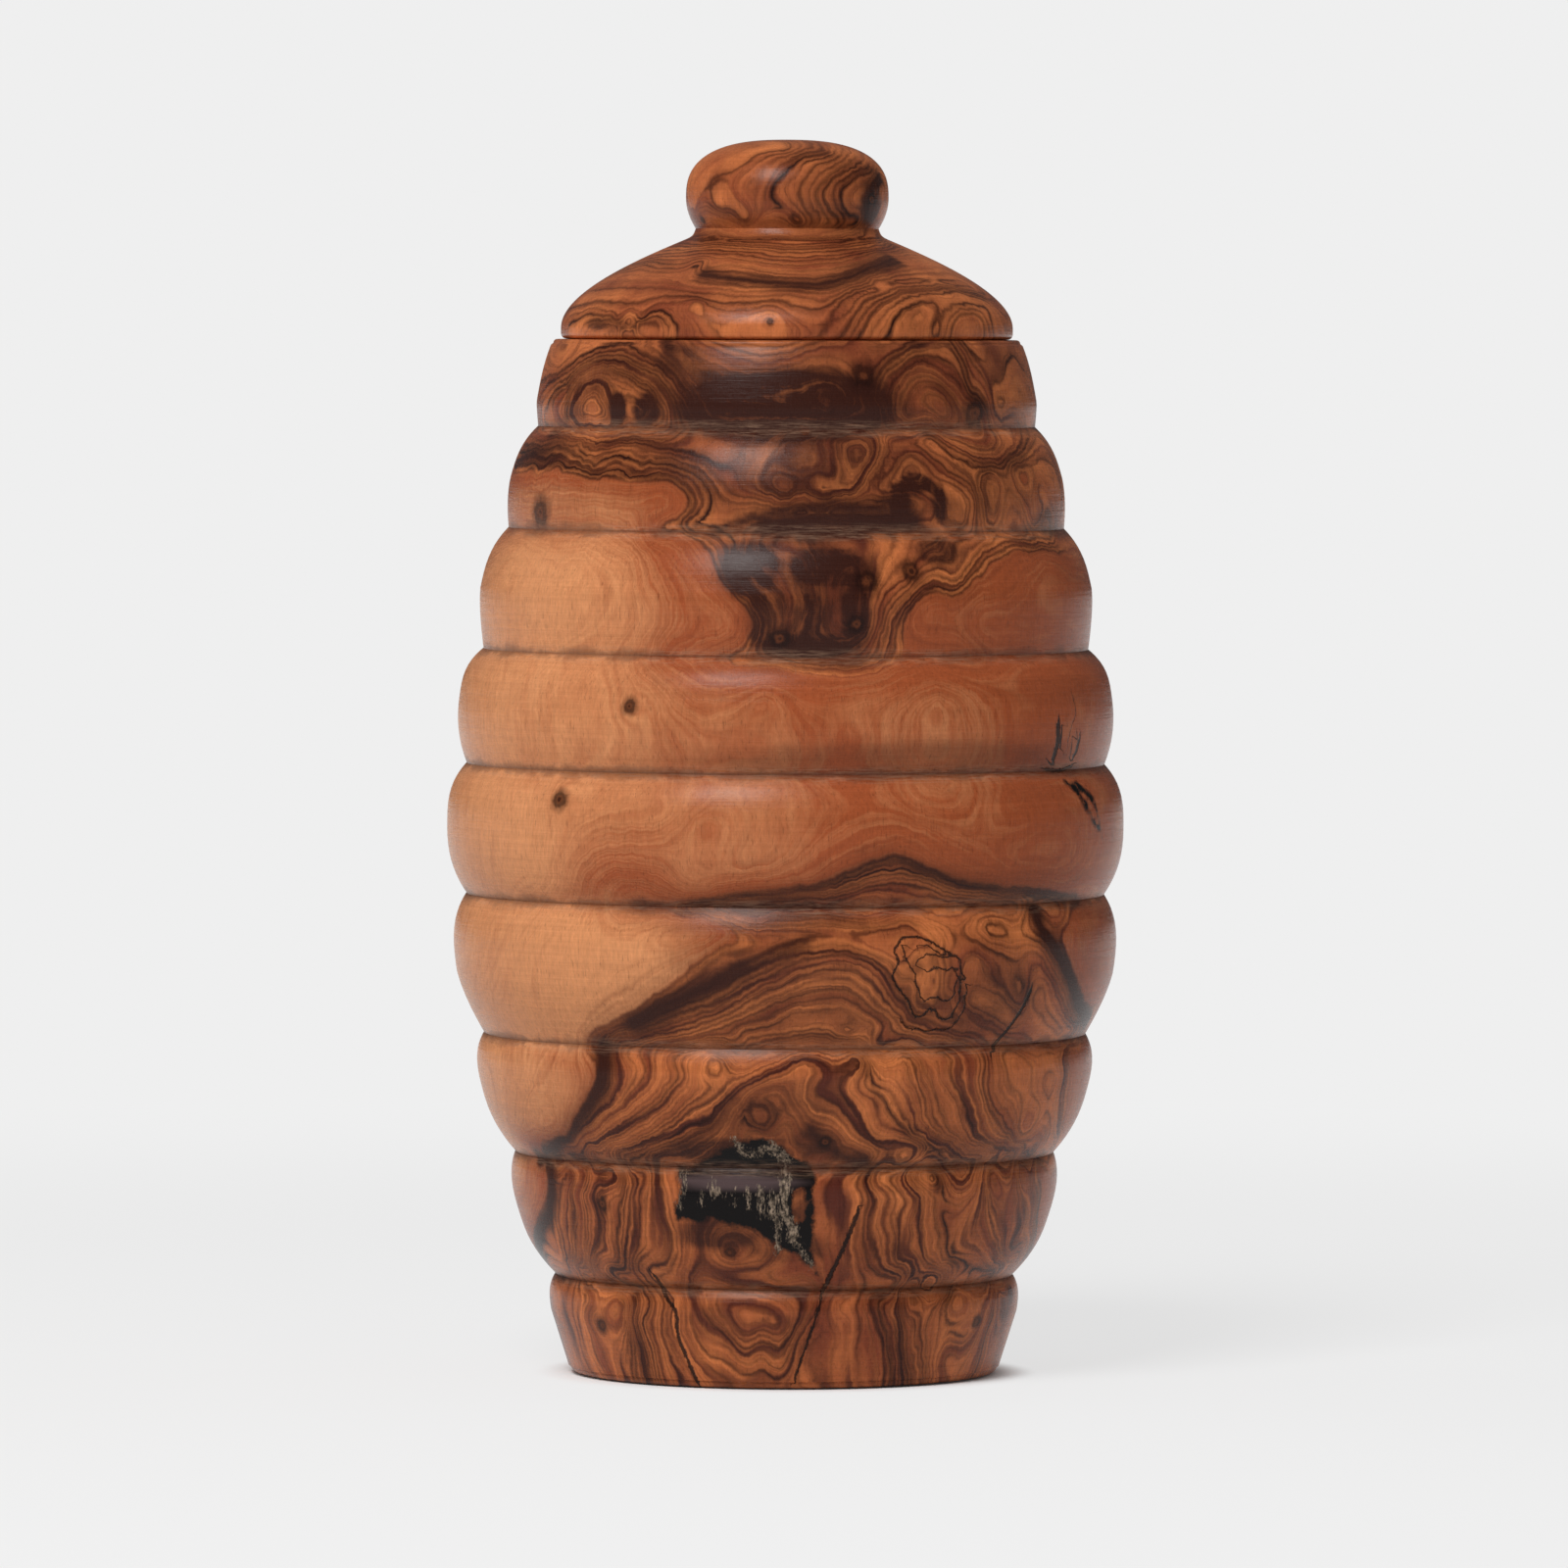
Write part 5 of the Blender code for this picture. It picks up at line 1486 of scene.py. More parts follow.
@dataclass(frozen=True)
class OliveWood:
    """Turned olive wood under a coat of wax, cut from a figured branch.

    Its methods take `add`, which adds a node to the tree, and `marks`, the sockets that say what
    is known of each place: its spot in mm, the fields on the mesh, the noises, and what earlier
    methods found.
    """

    creases: tuple[float, ...] = ()
    knots: tuple[Ball, ...] = ()
    far_off: float = 99.0

    # Olive heartwood is orange brown with chocolate growth lines, and the sapwood round it goes
    # from a ruddy to a pale tan. Turning leaves fine rings round the piece, wax a satin sheen,
    # and the sander's dust stays pale in the creases.
    heart_light: str = "#d47b46"
    heart_deep: str = "#8a442a"
    heart_dusk: str = "#54261d"
    heart_line: str = "#27100c"
    # Also the colour of the painted shade along the creases and at the sixth bead's bottom
    heart_stain_and_shade: str = "#371b14"
    sap_pale: str = "#d28d5e"
    sap_ruddy: str = "#9c4e2c"
    sap_line: str = "#6e3620"
    knot_core: str = "#1f0e0b"
    knot_collar: str = "#8a4a2a"
    crack_fill: str = "#150c0a"
    bark_black: str = "#0e0a0a"
    # A painted highlight on the bark pocket, where the bead's crest faces the soft box
    bark_highlight: str = "#5d4c4c"
    bark_fibre: str = "#a8937e"
    dust: str = "#b28c72"

    # Where the growth lines run: how far the noises sway them, and what burrs add
    least_pace: float = 0.12
    sway_mm: float = 1.9
    jitter_mm: float = 0.8
    burr_lines: float = 9.0
    burr_pace: float = 1.3
    bundles: Drift = Drift((0.05, 0.05, 0.035), 0.42, 2.5, 0.6)
    dusky_bundles: Ramp = Ramp(0.50, 0.66)
    streaks: Drift = Drift((0.10, 0.10, 0.10), 2.1, 4.0, 0.62)
    band_scale: float = 0.45
    band_detail: float = 3.0
    band_roughness: float = 0.7
    sapwood_edge: Ramp = Ramp(-0.2, 0.7)

    # How each growth line is drawn: its width, the soft shade on its inner side, its strength
    line_mm: float = 0.26
    least_width: float = 0.4
    added_width: float = 1.5
    drawn: float = 0.55
    edge_power: float = 1.6
    shade_mm: float = 1.1
    shade_overlap_mm: float = 0.1
    shade_strength: float = 0.6
    showing: Ramp = Ramp(0.34, 0.62, 0.25, 1.0)
    luck_power: float = 2.0
    luck_gain: float = 1.3
    dusky_gain: float = 0.25
    faint: float = 1.15
    drawn_gain: float = 1.25
    burr_ink: float = 0.85
    ink_power: float = 0.5
    crowding: Ramp = Ramp(1.8, 5.0, 1.0, 0.4)
    wear: Ramp = Ramp(0.42, 0.68, 1.05, 0.68)

    # The fine lines between two growth lines: three to a line, half a step off it
    fine_steps: float = 3.0
    fine_start: float = 0.5
    fine_power: float = 1.8
    fine_width: float = 1.6
    fine_clarity: float = 0.35
    fine_room: Ramp = Ramp(0.4, 1.1, 0.75, 0.0)

    # The ground between the lines, and the stains on it, a few of them painted shade
    bands: Ramp = Ramp(0.22, 0.78)
    heart_tone: float = 2.0
    dusk: float = 0.95
    sap_lines: Ramp = Ramp(45.0, 60.0)
    sap_tone: float = 0.8
    sap_streaks: float = 1.2
    threads: Ramp = Ramp(0.28, 0.72, 0.84, 1.14)
    flecks: Ramp = Ramp(0.57, 0.74, 0.0, 0.6)
    ink_strength: Ramp = Ramp(0.0, 1.0, 0.96, 0.42)
    stain_and_shade_streaks: float = 2.0
    stain_and_shade_raggedness: float = 1.1
    stain_and_shade_depth: Ramp = Ramp(0.0, 0.85, 0.35, 1.0)
    stain_and_shade_reach: Ramp = Ramp(0.0, 0.8)
    stain_and_shade_in_sap: Ramp = Ramp(0.0, 1.0, 1.0, 0.45)
    pores: Ramp = Ramp(0.62, 0.74, 0.0, 0.30)

    # Knots, in shares of their radius, and cracks and bark, in mm from their edges
    knot_raggedness: float = 1.5
    knot_halo: Ramp = Ramp(1.0, 1.7, 0.45, 0.0)
    knot_rim: Ramp = Ramp(0.7, 1.1, 0.7, 0.0)
    knot_ring: Ramp = Ramp(0.1, 0.55, 0.45, 0.0)
    knot_heart: Ramp = Ramp(0.0, 0.3, 0.8, 0.0)
    crack_raggedness: float = 0.7
    crack_depth: Ramp = Ramp(-0.06, 0.10, 0.0, 0.92)
    bark_raggedness: float = 2.6
    bark_edge: Ramp = Ramp(-0.25, 0.35, 1.0, 0.0)
    fibre_raggedness: float = 3.0
    fibre_edge: Ramp = Ramp(-0.45, 0.0, 1.0, 0.0)
    fibre_brightness: Ramp = Ramp(-0.12, 0.14, 0.15, 1.0)

    # The creases' dust and painted shade, in mm from their bottoms
    dust_specks: Ramp = Ramp(0.42, 0.64, 0.0, 0.45)
    dust_reach: Ramp = Ramp(0.2, 1.5, 1.0, 0.0)
    crease_shade_width: Ramp = Ramp(0.38, 0.62, 0.3, 1.5)
    crease_shade_depth: Ramp = Ramp(0.0, 1.0, 0.6, 0.0)

    # The turning tool's rings, the sheen, and the relief in mm
    rings: Drift = Drift((0.03, 0.03, 0.0), 1.5, 5.0, 0.75)
    ring_tone: Ramp = Ramp(0.25, 0.75, 0.90, 1.09)
    roughness: float = 0.15
    ring_roughness: float = 0.14
    weave_roughness: float = 0.10
    dust_roughness: float = 0.4
    bark_roughness: float = 0.22
    fibre_roughness: float = 0.85
    ring_lift: float = 0.065
    weave_lift: float = 0.022
    crack_lift: float = -0.25
    fibre_lift: float = 0.5
    ior: float = 1.47
    specular: float = 0.12
    wax: float = 0.05
    wax_roughness: float = 0.18

    def material(self, name: str) -> bpy.types.Material:
        """Writes the material.

        Args:
            name: The material's name.

        Returns:
            The finished material.
        """
        material = bpy.data.materials.new(name)
        material.use_nodes = True
        tree = material.node_tree
        add = Recipe(tree).add
        marks = self.read(add)
        self.count_lines(add, marks)
        self.draw_lines(add, marks)
        wood = self.ground(add, marks)
        layers = self.ink(add, marks) + self.flaws(add, marks) + self.crease_dust_and_shade(add, marks)
        for share, colour in layers:
            wood = add("Mix", {0: share, 6: wood, 7: colour}, data_type="RGBA").outputs[2]
        sockets = tree.nodes["Principled BSDF"].inputs
        for socket, value in self.finish(add, marks, wood).items():
            tree.links.new(value, sockets[socket])
        for socket, value in (
            ("IOR", self.ior), ("Specular IOR Level", self.specular), ("Coat Weight", self.wax),
            ("Coat Roughness", self.wax_roughness),
        ):
            sockets[socket].default_value = value
        return material

    def read(self, add: Adder) -> Marks:
        """The marks to start with: the spot in mm, the fields on the mesh and the noises."""
        metres = add("TexCoord").outputs["Object"]
        spot = add("VectorMath", {0: metres, "Scale": 1 / MM}, "SCALE")
        marks = {name: add("Attribute", attribute_name=name).outputs["Fac"] for name in FIELDS}
        for name, mottle in {**MOTTLES, **(CREASE_MOTTLES if self.creases else {})}.items():
            place = add("VectorMath", [spot, tuple(1 / size for size in mottle.grains)], "MULTIPLY")
            noise = {"Scale": 1.0, "Detail": mottle.detail, "Roughness": mottle.roughness}
            marks[name] = add("TexNoise", {"Vector": place, **noise}).outputs["Fac"]
            if mottle.centred:
                marks[name] = add("Math", [marks[name], 0.5], "SUBTRACT")
        return {**marks, "spot": spot}

    def count_lines(self, add: Adder, marks: Marks) -> None:
        """Marks the growth lines and their pace with the noises' sway, and what follows them.

        That is fine streaks along the lines, dusky bundles of them, the ground's bands between
        them, and the share of sapwood.
        """
        pace = add("Math", [marks["pace"], self.least_pace], "MAXIMUM")
        swing = add("Math", [marks["jitter"], self.jitter_mm], "MULTIPLY")
        swing = add("Math", [marks["sway"], self.sway_mm, swing], "MULTIPLY_ADD")
        lines = add("Math", [pace, swing, marks["lines"]], "MULTIPLY_ADD")
        curl = add("Math", [marks["curl"], self.burr_lines], "MULTIPLY")
        marks["lines"] = lines = add("Math", [curl, marks["burr"], lines], "MULTIPLY_ADD")
        marks["pace"] = add("Math", [marks["burr"], self.burr_pace, pace], "MULTIPLY_ADD")
        for name, drift in (("bundle", self.bundles), ("streak", self.streaks)):
            along = add("VectorMath", [marks["spot"], drift.per_mm], "MULTIPLY")
            across = add("CombineXYZ", {"X": add("Math", [lines, drift.per_step], "MULTIPLY")})
            place = add("VectorMath", [along, across], "ADD")
            noise = {"Scale": 1.0, "Detail": drift.detail, "Roughness": drift.roughness}
            marks[name] = add("TexNoise", {"Vector": place, **noise}).outputs["Fac"]
        marks["dusky"] = add("MapRange", [marks["bundle"], *self.dusky_bundles], **SMOOTH)
        marks["streaky"] = add("Math", [marks["streak"], 0.5], "SUBTRACT")
        band = add("TexNoise", {
            "W": lines, "Scale": self.band_scale, "Detail": self.band_detail,
            "Roughness": self.band_roughness,
        }, noise_dimensions="1D")
        marks["band"] = band.outputs["Fac"]
        past = add("Math", [lines, SAPWOOD_LINE], "SUBTRACT")
        past = add("Math", [past, marks["pace"]], "DIVIDE")
        marks["sap"] = add("MapRange", [past, *self.sapwood_edge], **SMOOTH)

    def draw_lines(self, add: Adder, marks: Marks) -> None:
        """Marks the lines' ink, with three fainter lines between each two where there is room."""
        lines, pace = marks["lines"], marks["pace"]
        number = add("Math", [lines], "ROUND")
        luck = add("TexWhiteNoise", {"W": number}, noise_dimensions="1D").outputs["Value"]
        off_mm = add("Math", [add("Math", [lines, number], "SUBTRACT"), pace], "DIVIDE")
        widths = (self.added_width * self.line_mm, self.least_width * self.line_mm)
        width = add("Math", [luck, *widths], "MULTIPLY_ADD")
        drawn_width = add("Math", [marks["line_width"], self.drawn], "MULTIPLY")
        width = add("Math", [width, drawn_width], "MAXIMUM")
        away = add("Math", [add("Math", [off_mm], "ABSOLUTE"), width], "DIVIDE")
        away = add("Math", [away, self.edge_power], "POWER")
        sharp = add("Math", [add("Math", [away, -1.0], "MULTIPLY")], "EXPONENT")
        # Each line is soft towards the pith and ends sharply on its outer side
        shade = add("Math", [add("Math", [off_mm, 1 / self.shade_mm], "MULTIPLY")], "EXPONENT")
        before = add("Math", [off_mm, self.shade_overlap_mm], "LESS_THAN")
        shade = add("Math", [shade, before], "MULTIPLY", use_clamp=True)
        shade = add("Math", [shade, self.shade_strength], "MULTIPLY")
        line = add("Math", [shade, sharp], "MAXIMUM")

        showing = add("MapRange", [marks["patchy"], *self.showing], **SMOOTH)
        dusky = add("Math", [marks["dusky"], self.dusky_gain], "MULTIPLY")
        faint = add("Math", [luck, self.luck_power], "POWER")
        faint = add("Math", [faint, self.luck_gain, dusky], "MULTIPLY_ADD")
        for share in (add("Math", [showing, self.faint], "MULTIPLY"), marks["clarity"]):
            faint = add("Math", [faint, share], "MULTIPLY")
        drawn = add("Math", [marks["line_ink"], self.drawn_gain], "MULTIPLY")
        drawn = add("Math", [drawn, faint], "MAXIMUM")
        curly = add("Math", [marks["burr"], self.burr_ink], "MULTIPLY")
        drawn = add("Math", [drawn, curly], "MAXIMUM", use_clamp=True)
        drawn = add("Math", [drawn, self.ink_power], "POWER")
        crowd = add("MapRange", [pace, *self.crowding])
        worn = add("MapRange", [marks["streak"], *self.wear])
        for share in (drawn, crowd, worn):
            line = add("Math", [line, share], "MULTIPLY")

        third = add("Math", [lines, self.fine_steps, self.fine_start], "MULTIPLY_ADD")
        number = add("Math", [third], "ROUND")
        luck = add("TexWhiteNoise", {"W": number}, noise_dimensions="1D").outputs["Value"]
        luck = add("Math", [luck, self.fine_power], "POWER")
        off_mm = add("Math", [add("Math", [third, number], "SUBTRACT")], "ABSOLUTE")
        off_mm = add("Math", [off_mm, pace], "DIVIDE")
        fine = add("Math", [off_mm, -1 / (self.fine_width * self.line_mm)], "MULTIPLY")
        fine = add("Math", [fine], "EXPONENT")
        clarity = add("Math", [marks["clarity"], self.fine_clarity], "ADD")
        room = add("MapRange", [pace, *self.fine_room], **SMOOTH)
        for share in (luck, showing, clarity, room):
            fine = add("Math", [fine, share], "MULTIPLY")
        marks["ink"] = add("Math", [line, fine], "MAXIMUM")

    def ground(self, add: Adder, marks: Marks) -> Any:
        """The colour of the heartwood and the sapwood between the lines."""
        band = add("MapRange", [marks["band"], *self.bands])
        deep = add("Math", [marks["tone"], self.heart_tone, band], "MULTIPLY_ADD", use_clamp=True)
        dusk = add("Math", [marks["dusky"], self.dusk], "MULTIPLY")
        pale = add("MapRange", [marks["lines"], *self.sap_lines])
        pale = add("Math", [pale, marks["pallor"]], "MAXIMUM")
        pale = add("Math", [marks["tone"], self.sap_tone, pale], "MULTIPLY_ADD")
        pale = add(
            "Math", [marks["streaky"], self.sap_streaks, pale], "MULTIPLY_ADD", use_clamp=True
        )
        tans = {6: linear(self.sap_ruddy), 7: linear(self.sap_pale)}
        young = add("Mix", {0: pale, **tans}, data_type="RGBA").outputs[2]
        wood: Any = linear(self.heart_light)
        for share, colour in (
            (deep, linear(self.heart_deep)), (dusk, linear(self.heart_dusk)), (marks["sap"], young),
        ):
            wood = add("Mix", {0: share, 6: wood, 7: colour}, data_type="RGBA").outputs[2]
        thread = add("MapRange", [marks["thread"], *self.threads])
        return add("VectorMath", {0: wood, "Scale": thread}, "SCALE")

    def ink(self, add: Adder, marks: Marks) -> Layers:
        """Layers of flecks, growth lines, stains and pores, each a share and a colour. The stains'
        layer also holds painted shade at the bottom of the sixth bead up.
        """
        fleck = add("MapRange", [marks["streak"], *self.flecks])
        fleck = add("Math", [fleck, add("Math", [1.0, marks["sap"]], "SUBTRACT")], "MULTIPLY")
        strength = add("MapRange", [marks["sap"], *self.ink_strength])
        line = add("Math", [marks["ink"], strength], "MULTIPLY", use_clamp=True)
        inks = {6: linear(self.heart_line), 7: linear(self.sap_line)}
        line_colour = add("Mix", {0: marks["sap"], **inks}, data_type="RGBA").outputs[2]
        # Stains, and the painted shade of the ovals along the sixth bead's bottom, in one layer
        stain_and_shade = marks["ground_ink"]
        for edge, gain in (("streaky", self.stain_and_shade_streaks), ("stain_and_shade_edge", self.stain_and_shade_raggedness)):
            stain_and_shade = add("Math", [marks[edge], gain, stain_and_shade], "MULTIPLY_ADD")
        stain_and_shade = add("MapRange", [stain_and_shade, *self.stain_and_shade_depth])
        for mark, ramp in (("ground_ink", self.stain_and_shade_reach), ("sap", self.stain_and_shade_in_sap)):
            stain_and_shade = add("Math", [stain_and_shade, add("MapRange", [marks[mark], *ramp])], "MULTIPLY")
        pore = add("MapRange", [marks["pore"], *self.pores])
        dark = linear(self.heart_line)
        return [(fleck, dark), (line, line_colour), (stain_and_shade, linear(self.heart_stain_and_shade)), (pore, dark)]

    def flaws(self, add: Adder, marks: Marks) -> Layers:
        """Layers of knots, cracks and the pocket of bark, whose shares are marked too."""
        knot: Any = self.far_off
        for middle, radius in self.knots:
            gap = add("VectorMath", [marks["spot"], middle], "DISTANCE").outputs["Value"]
            knot = add("Math", [knot, add("Math", [gap, radius], "DIVIDE")], "MINIMUM")
        knot = add("Math", [marks["flaw_edge"], self.knot_raggedness, knot], "MULTIPLY_ADD")
        layers = [
            (add("MapRange", [knot, *ramp], **SMOOTH), linear(colour))
            for ramp, colour in (
                (self.knot_halo, self.heart_line), (self.knot_rim, self.knot_core),
                (self.knot_ring, self.knot_collar), (self.knot_heart, self.knot_core),
            )
        ]
        aside = add("Math", [marks["grit"], self.crack_raggedness, marks["crack"]], "MULTIPLY_ADD")
        aside = add("Math", [aside], "ABSOLUTE")
        gap = add("Math", [marks["crack_reach"], aside], "SUBTRACT")
        marks["cracked"] = add("MapRange", [gap, *self.crack_depth])
        edge = (marks["flaw_edge"], self.bark_raggedness)
        bark = add("Math", [*edge, marks["bark"]], "MULTIPLY_ADD")
        marks["barky"] = add("MapRange", [bark, *self.bark_edge])
        # Over the bark, the pallor field lightens the black to a painted highlight
        blacks = {6: linear(self.bark_black), 7: linear(self.bark_highlight)}
        bark_colour = add("Mix", {0: marks["pallor"], **blacks}, data_type="RGBA").outputs[2]
        edge = (marks["shred"], self.fibre_raggedness)
        fibre = add("Math", [*edge, marks["fibre"]], "MULTIPLY_ADD")
        marks["fibrous"] = add("MapRange", [fibre, *self.fibre_edge])
        bright = add("MapRange", [marks["grit"], *self.fibre_brightness])
        fibre_colour = add("VectorMath", {0: linear(self.bark_fibre)[:3], "Scale": bright}, "SCALE")
        return [
            *layers, (marks["cracked"], linear(self.crack_fill)), (marks["barky"], bark_colour),
            (marks["fibrous"], fibre_colour),
        ]

    def crease_dust_and_shade(self, add: Adder, marks: Marks) -> Layers:
        """Layers of dust, and of painted shade where two beads meet, and the mark of the dust."""
        marks["dusty"] = 0.0
        if not self.creases:
            return []
        height = add("SeparateXYZ", [marks["spot"]]).outputs["Z"]
        apart: Any = self.far_off
        for crease in self.creases:
            gap = add("Math", [add("Math", [height, crease], "SUBTRACT")], "ABSOLUTE")
            apart = add("Math", [apart, gap], "MINIMUM")
        specks = add("MapRange", [marks["speck"], *self.dust_specks])
        dusty = add("MapRange", [apart, *self.dust_reach], **SMOOTH)
        marks["dusty"] = add("Math", [dusty, specks], "MULTIPLY")
        # A band of painted shade darkens the bottom of each crease, its width ragged
        width = add("MapRange", [marks["crease_shade"], *self.crease_shade_width])
        crease_shade = add("Math", [apart, width], "DIVIDE")
        crease_shade = add("MapRange", [crease_shade, *self.crease_shade_depth])
        return [(marks["dusty"], linear(self.dust)), (crease_shade, linear(self.heart_stain_and_shade))]

    def finish(self, add: Adder, marks: Marks, wood: Any) -> dict[str, Any]:
        """Adds the turning tool's rings, the wax's sheen and the relief.

        Args:
            add: Adds a node.
            marks: What is known of each place.
            wood: The colour so far.

        Returns:
            What the shader's sockets take.
        """
        around = add("VectorMath", [marks["spot"], self.rings.per_mm], "MULTIPLY")
        rise = add("Math", [marks["arc"], self.rings.per_step], "MULTIPLY")
        place = add("VectorMath", [around, add("CombineXYZ", {"Z": rise})], "ADD")
        noise = {"Scale": 1.0, "Detail": self.rings.detail, "Roughness": self.rings.roughness}
        ring = add("TexNoise", {"Vector": place, **noise}).outputs["Fac"]
        tone = add("MapRange", [ring, *self.ring_tone])
        wood = add("VectorMath", {0: wood, "Scale": tone}, "SCALE").outputs[0]

        gloss: Any = self.roughness
        for share, gain in (
            (ring, self.ring_roughness), (marks["weave"], self.weave_roughness),
            (marks["dusty"], self.dust_roughness),
        ):
            gloss = add("Math", [share, gain, gloss], "MULTIPLY_ADD")
        for mark, rough in (("barky", self.bark_roughness), ("fibrous", self.fibre_roughness)):
            gloss = add("Mix", {0: marks[mark], 2: gloss, 3: rough}).outputs[0]
        lift = add("Math", [ring, self.ring_lift], "MULTIPLY")
        rough_bark = add("Math", [marks["grit"], self.fibre_lift], "MULTIPLY")
        for mark, gain in (
            ("weave", self.weave_lift), ("cracked", self.crack_lift), ("fibrous", rough_bark),
        ):
            lift = add("Math", [marks[mark], gain, lift], "MULTIPLY_ADD")
        bump = add("Bump", {"Strength": 1.0, "Distance": MM, "Height": lift})
        return {"Base Color": wood, "Roughness": gloss, "Normal": bump.outputs["Normal"]}


@dataclass
class Studio:
    """A pale floor and surround, a soft box at the front left, two side panels and the camera."""

    ground_colour: str = "#efefef"
    card_lit: str = "#f6f6f6"
    card_reflected: str = "#e6e6e6"
    lamp_colour: str = "#ffffff"
    floor_size: float = 14.0
    floor_drop: float = 0.2 * MM
    shadow_reach: Ramp = Ramp(0.22, 0.55, 0.19, 0.0)
    contact_reach: Ramp = Ramp(0.0275, 0.034, 0.8, 0.0)
    camera_distance: float = 1665.0 * MM
    camera_height: float = 143.5 * MM
    camera_tilt: float = 2.248
    camera_roll: float = 0.18
    camera_pan: float = 0.0067
    lens: float = 287.7
    sensor: float = 36.0
    key_turn: float = -23.0
    key_rise: float = 47.0
    key_distance: float = 1.5
    key_width: float = 0.55
    key_length: float = 0.65
    key_power: float = 18.5
    rim_turns: tuple[float, ...] = (-112.0, 112.0)
    rim_powers: tuple[float, ...] = (3.6, 2.4)
    rim_distance: float = 1.3
    rim_width: float = 0.6
    rim_height: float = 1.4
    fill_strength: float = 0.24
    sheen_strength: float = 0.10

    def build(self) -> None:
        """Sets up everything round the object."""
        self.floor()
        self.surround()
        self.key_light()
        self.rim_lights()
        self.camera()

    def floor(self) -> None:
        """The floor: the camera sees it at the background's own tone with soft shadows on it."""
        bpy.ops.object.select_all(action="DESELECT")
        bpy.ops.mesh.primitive_plane_add(size=self.floor_size)
        floor = bpy.context.active_object
        floor.name = "studio_floor"
        bpy.ops.object.mode_set(mode="EDIT")
        bpy.ops.mesh.select_all(action="SELECT")
        bpy.ops.transform.translate(value=(0.0, 0.0, -self.floor_drop))
        bpy.ops.object.mode_set(mode="OBJECT")
        floor.data.materials.append(self.floor_paint())
        floor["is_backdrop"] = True

    def floor_paint(self) -> bpy.types.Material:
        """White studio card. Most of what the camera sees of it is its own tone."""
        material = bpy.data.materials.new("white_studio_card")
        material.use_nodes = True
        tree = material.node_tree
        tree.nodes.clear()
        add = Recipe(tree).add
        path = add("LightPath").outputs
        seen = add("Math", [path["Is Camera Ray"], path["Is Glossy Ray"]], "MAXIMUM")
        seen = add("Math", [seen, path["Is Transmission Ray"]], "MAXIMUM")
        card = add("BsdfDiffuse", {"Color": linear(self.card_reflected)})
        place = add("TexCoord").outputs["Object"]
        reach = add("VectorMath", [place], "LENGTH").outputs["Value"]
        near = add("MapRange", [reach, *self.shadow_reach], **SMOOTH)
        touch = add("MapRange", [reach, *self.contact_reach], **SMOOTH)
        lit_share = add("Math", [near, touch], "ADD")
        plain = add("Emission", {"Color": linear(self.ground_colour)})
        lit = add("BsdfDiffuse", {"Color": linear(self.card_lit)})
        shown = add("MixShader", [lit_share, plain, lit])
        both = add("MixShader", [seen, card, shown])
        add("OutputMaterial", {"Surface": both})
        return material

    def surround(self) -> None:
        """The surround: background tone to the camera, softer light to the object."""
        world = bpy.data.worlds.new("studio_surround")
        bpy.context.scene.world = world
        world.use_nodes = True
        tree = world.node_tree
        tree.nodes.clear()
        add = Recipe(tree).add
        path = add("LightPath").outputs
        seen = add("Math", [path["Is Camera Ray"], path["Is Transmission Ray"]], "MAXIMUM")
        white = linear(self.lamp_colour)
        light = add("Background", {"Color": white, "Strength": self.fill_strength})
        sheen = add("Background", {"Color": white, "Strength": self.sheen_strength})
        backdrop = add("Background", {"Color": linear(self.ground_colour), "Strength": 1.0})
        mixed = add("MixShader", [path["Is Glossy Ray"], light, sheen])
        mixed = add("MixShader", [seen, mixed, backdrop])
        add("OutputWorld", {"Surface": mixed})

    def key_light(self) -> None:
        """The large soft box, high on the front left."""
        key = self.panel("soft_box", self.key_turn, self.key_rise, self.key_distance)
        key.data.size = self.key_width
        key.data.size_y = self.key_length
        key.data.energy = self.key_power

    def rim_lights(self) -> None:
        """Two tall matt panels beside and behind the object, which brighten its edges."""
        for turn, power in zip(self.rim_turns, self.rim_powers):
            rim = self.panel("side_panel", turn, 0.0, self.rim_distance)
            rim.data.size = self.rim_width
            rim.data.size_y = self.rim_height
            rim.data.energy = power
            rim.visible_glossy = False

    def panel(self, name: str, turn: float, rise: float, distance: float) -> bpy.types.Object:
        """Adds a rectangular lamp that faces the object's middle.

        Args:
            name: The lamp's name.
            turn: Degrees to the right of the camera, as seen from it.
            rise: Degrees above the level.
            distance: How far away it is, in metres.

        Returns:
            The lamp.
        """
        sideways, upwards = math.radians(turn), math.radians(rise)
        reach = math.cos(upwards)
        way = Vector((math.sin(sideways) * reach, -math.cos(sideways) * reach, math.sin(upwards)))
        bpy.ops.object.light_add(type="AREA")
        lamp = bpy.context.active_object
        lamp.name = name
        lamp.data.shape = "RECTANGLE"
        middle = Vector((0.0, 0.0, sum(corner[2] for corner in CAD_BOX) / 2))
        lamp.location = middle + way * distance
        lamp.rotation_euler = way.to_track_quat("Z", "Y").to_euler()
        return lamp

    def camera(self) -> None:
        """The camera, level with the lid and tilted a little down, at the photograph's distance."""
        bpy.ops.object.camera_add()
        camera = bpy.context.active_object
        camera.name = "front_camera"
        camera.data.lens = self.lens
        camera.data.sensor_width = self.sensor
        tilt = Matrix.Rotation(math.radians(90.0 - self.camera_tilt), 4, "X")
        pan = Matrix.Rotation(math.radians(self.camera_pan), 4, "Z")
        roll = Matrix.Rotation(math.radians(self.camera_roll), 4, "Z")
        place = Matrix.Translation((0.0, -self.camera_distance, self.camera_height))
        camera.matrix_world = place @ pan @ tilt @ roll
        bpy.context.scene.camera = camera


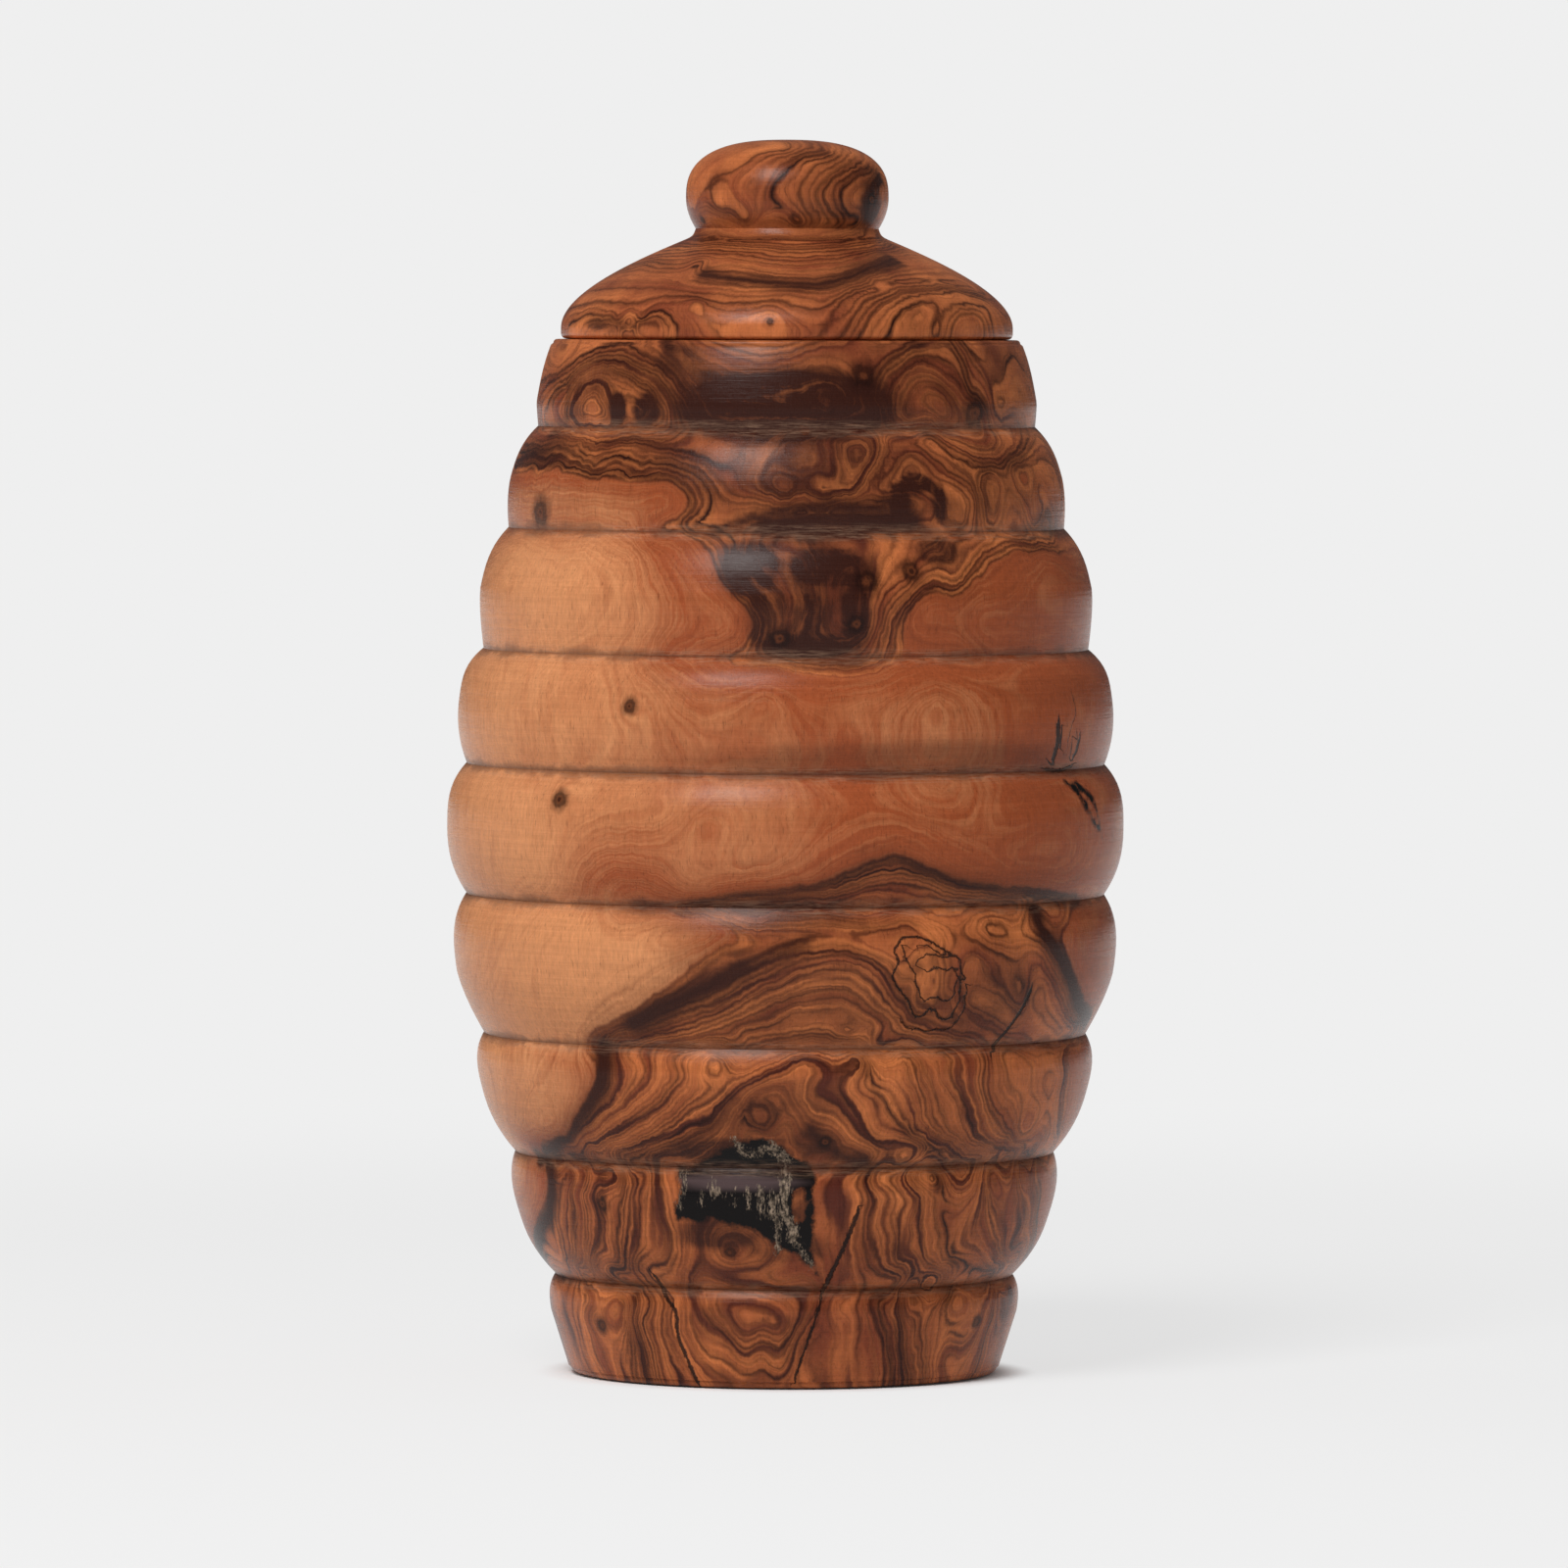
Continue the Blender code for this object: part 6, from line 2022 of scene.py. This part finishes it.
def main() -> None:
    """Builds the pot, the lid and the dipper, then the studio round them."""
    logging.basicConfig(level=logging.INFO)
    for piece in (Pot(), Lid(), Dipper()):
        piece.build()
    Studio().build()
    bpy.context.scene.view_settings.view_transform = "Standard"
    bpy.context.view_layer.update()
    boxes = {"cad": CAD_BOX, "visual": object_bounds()}
    {name: [list(corner) for corner in box] for name, box in boxes.items()}


if __name__ == "__main__":
    main()
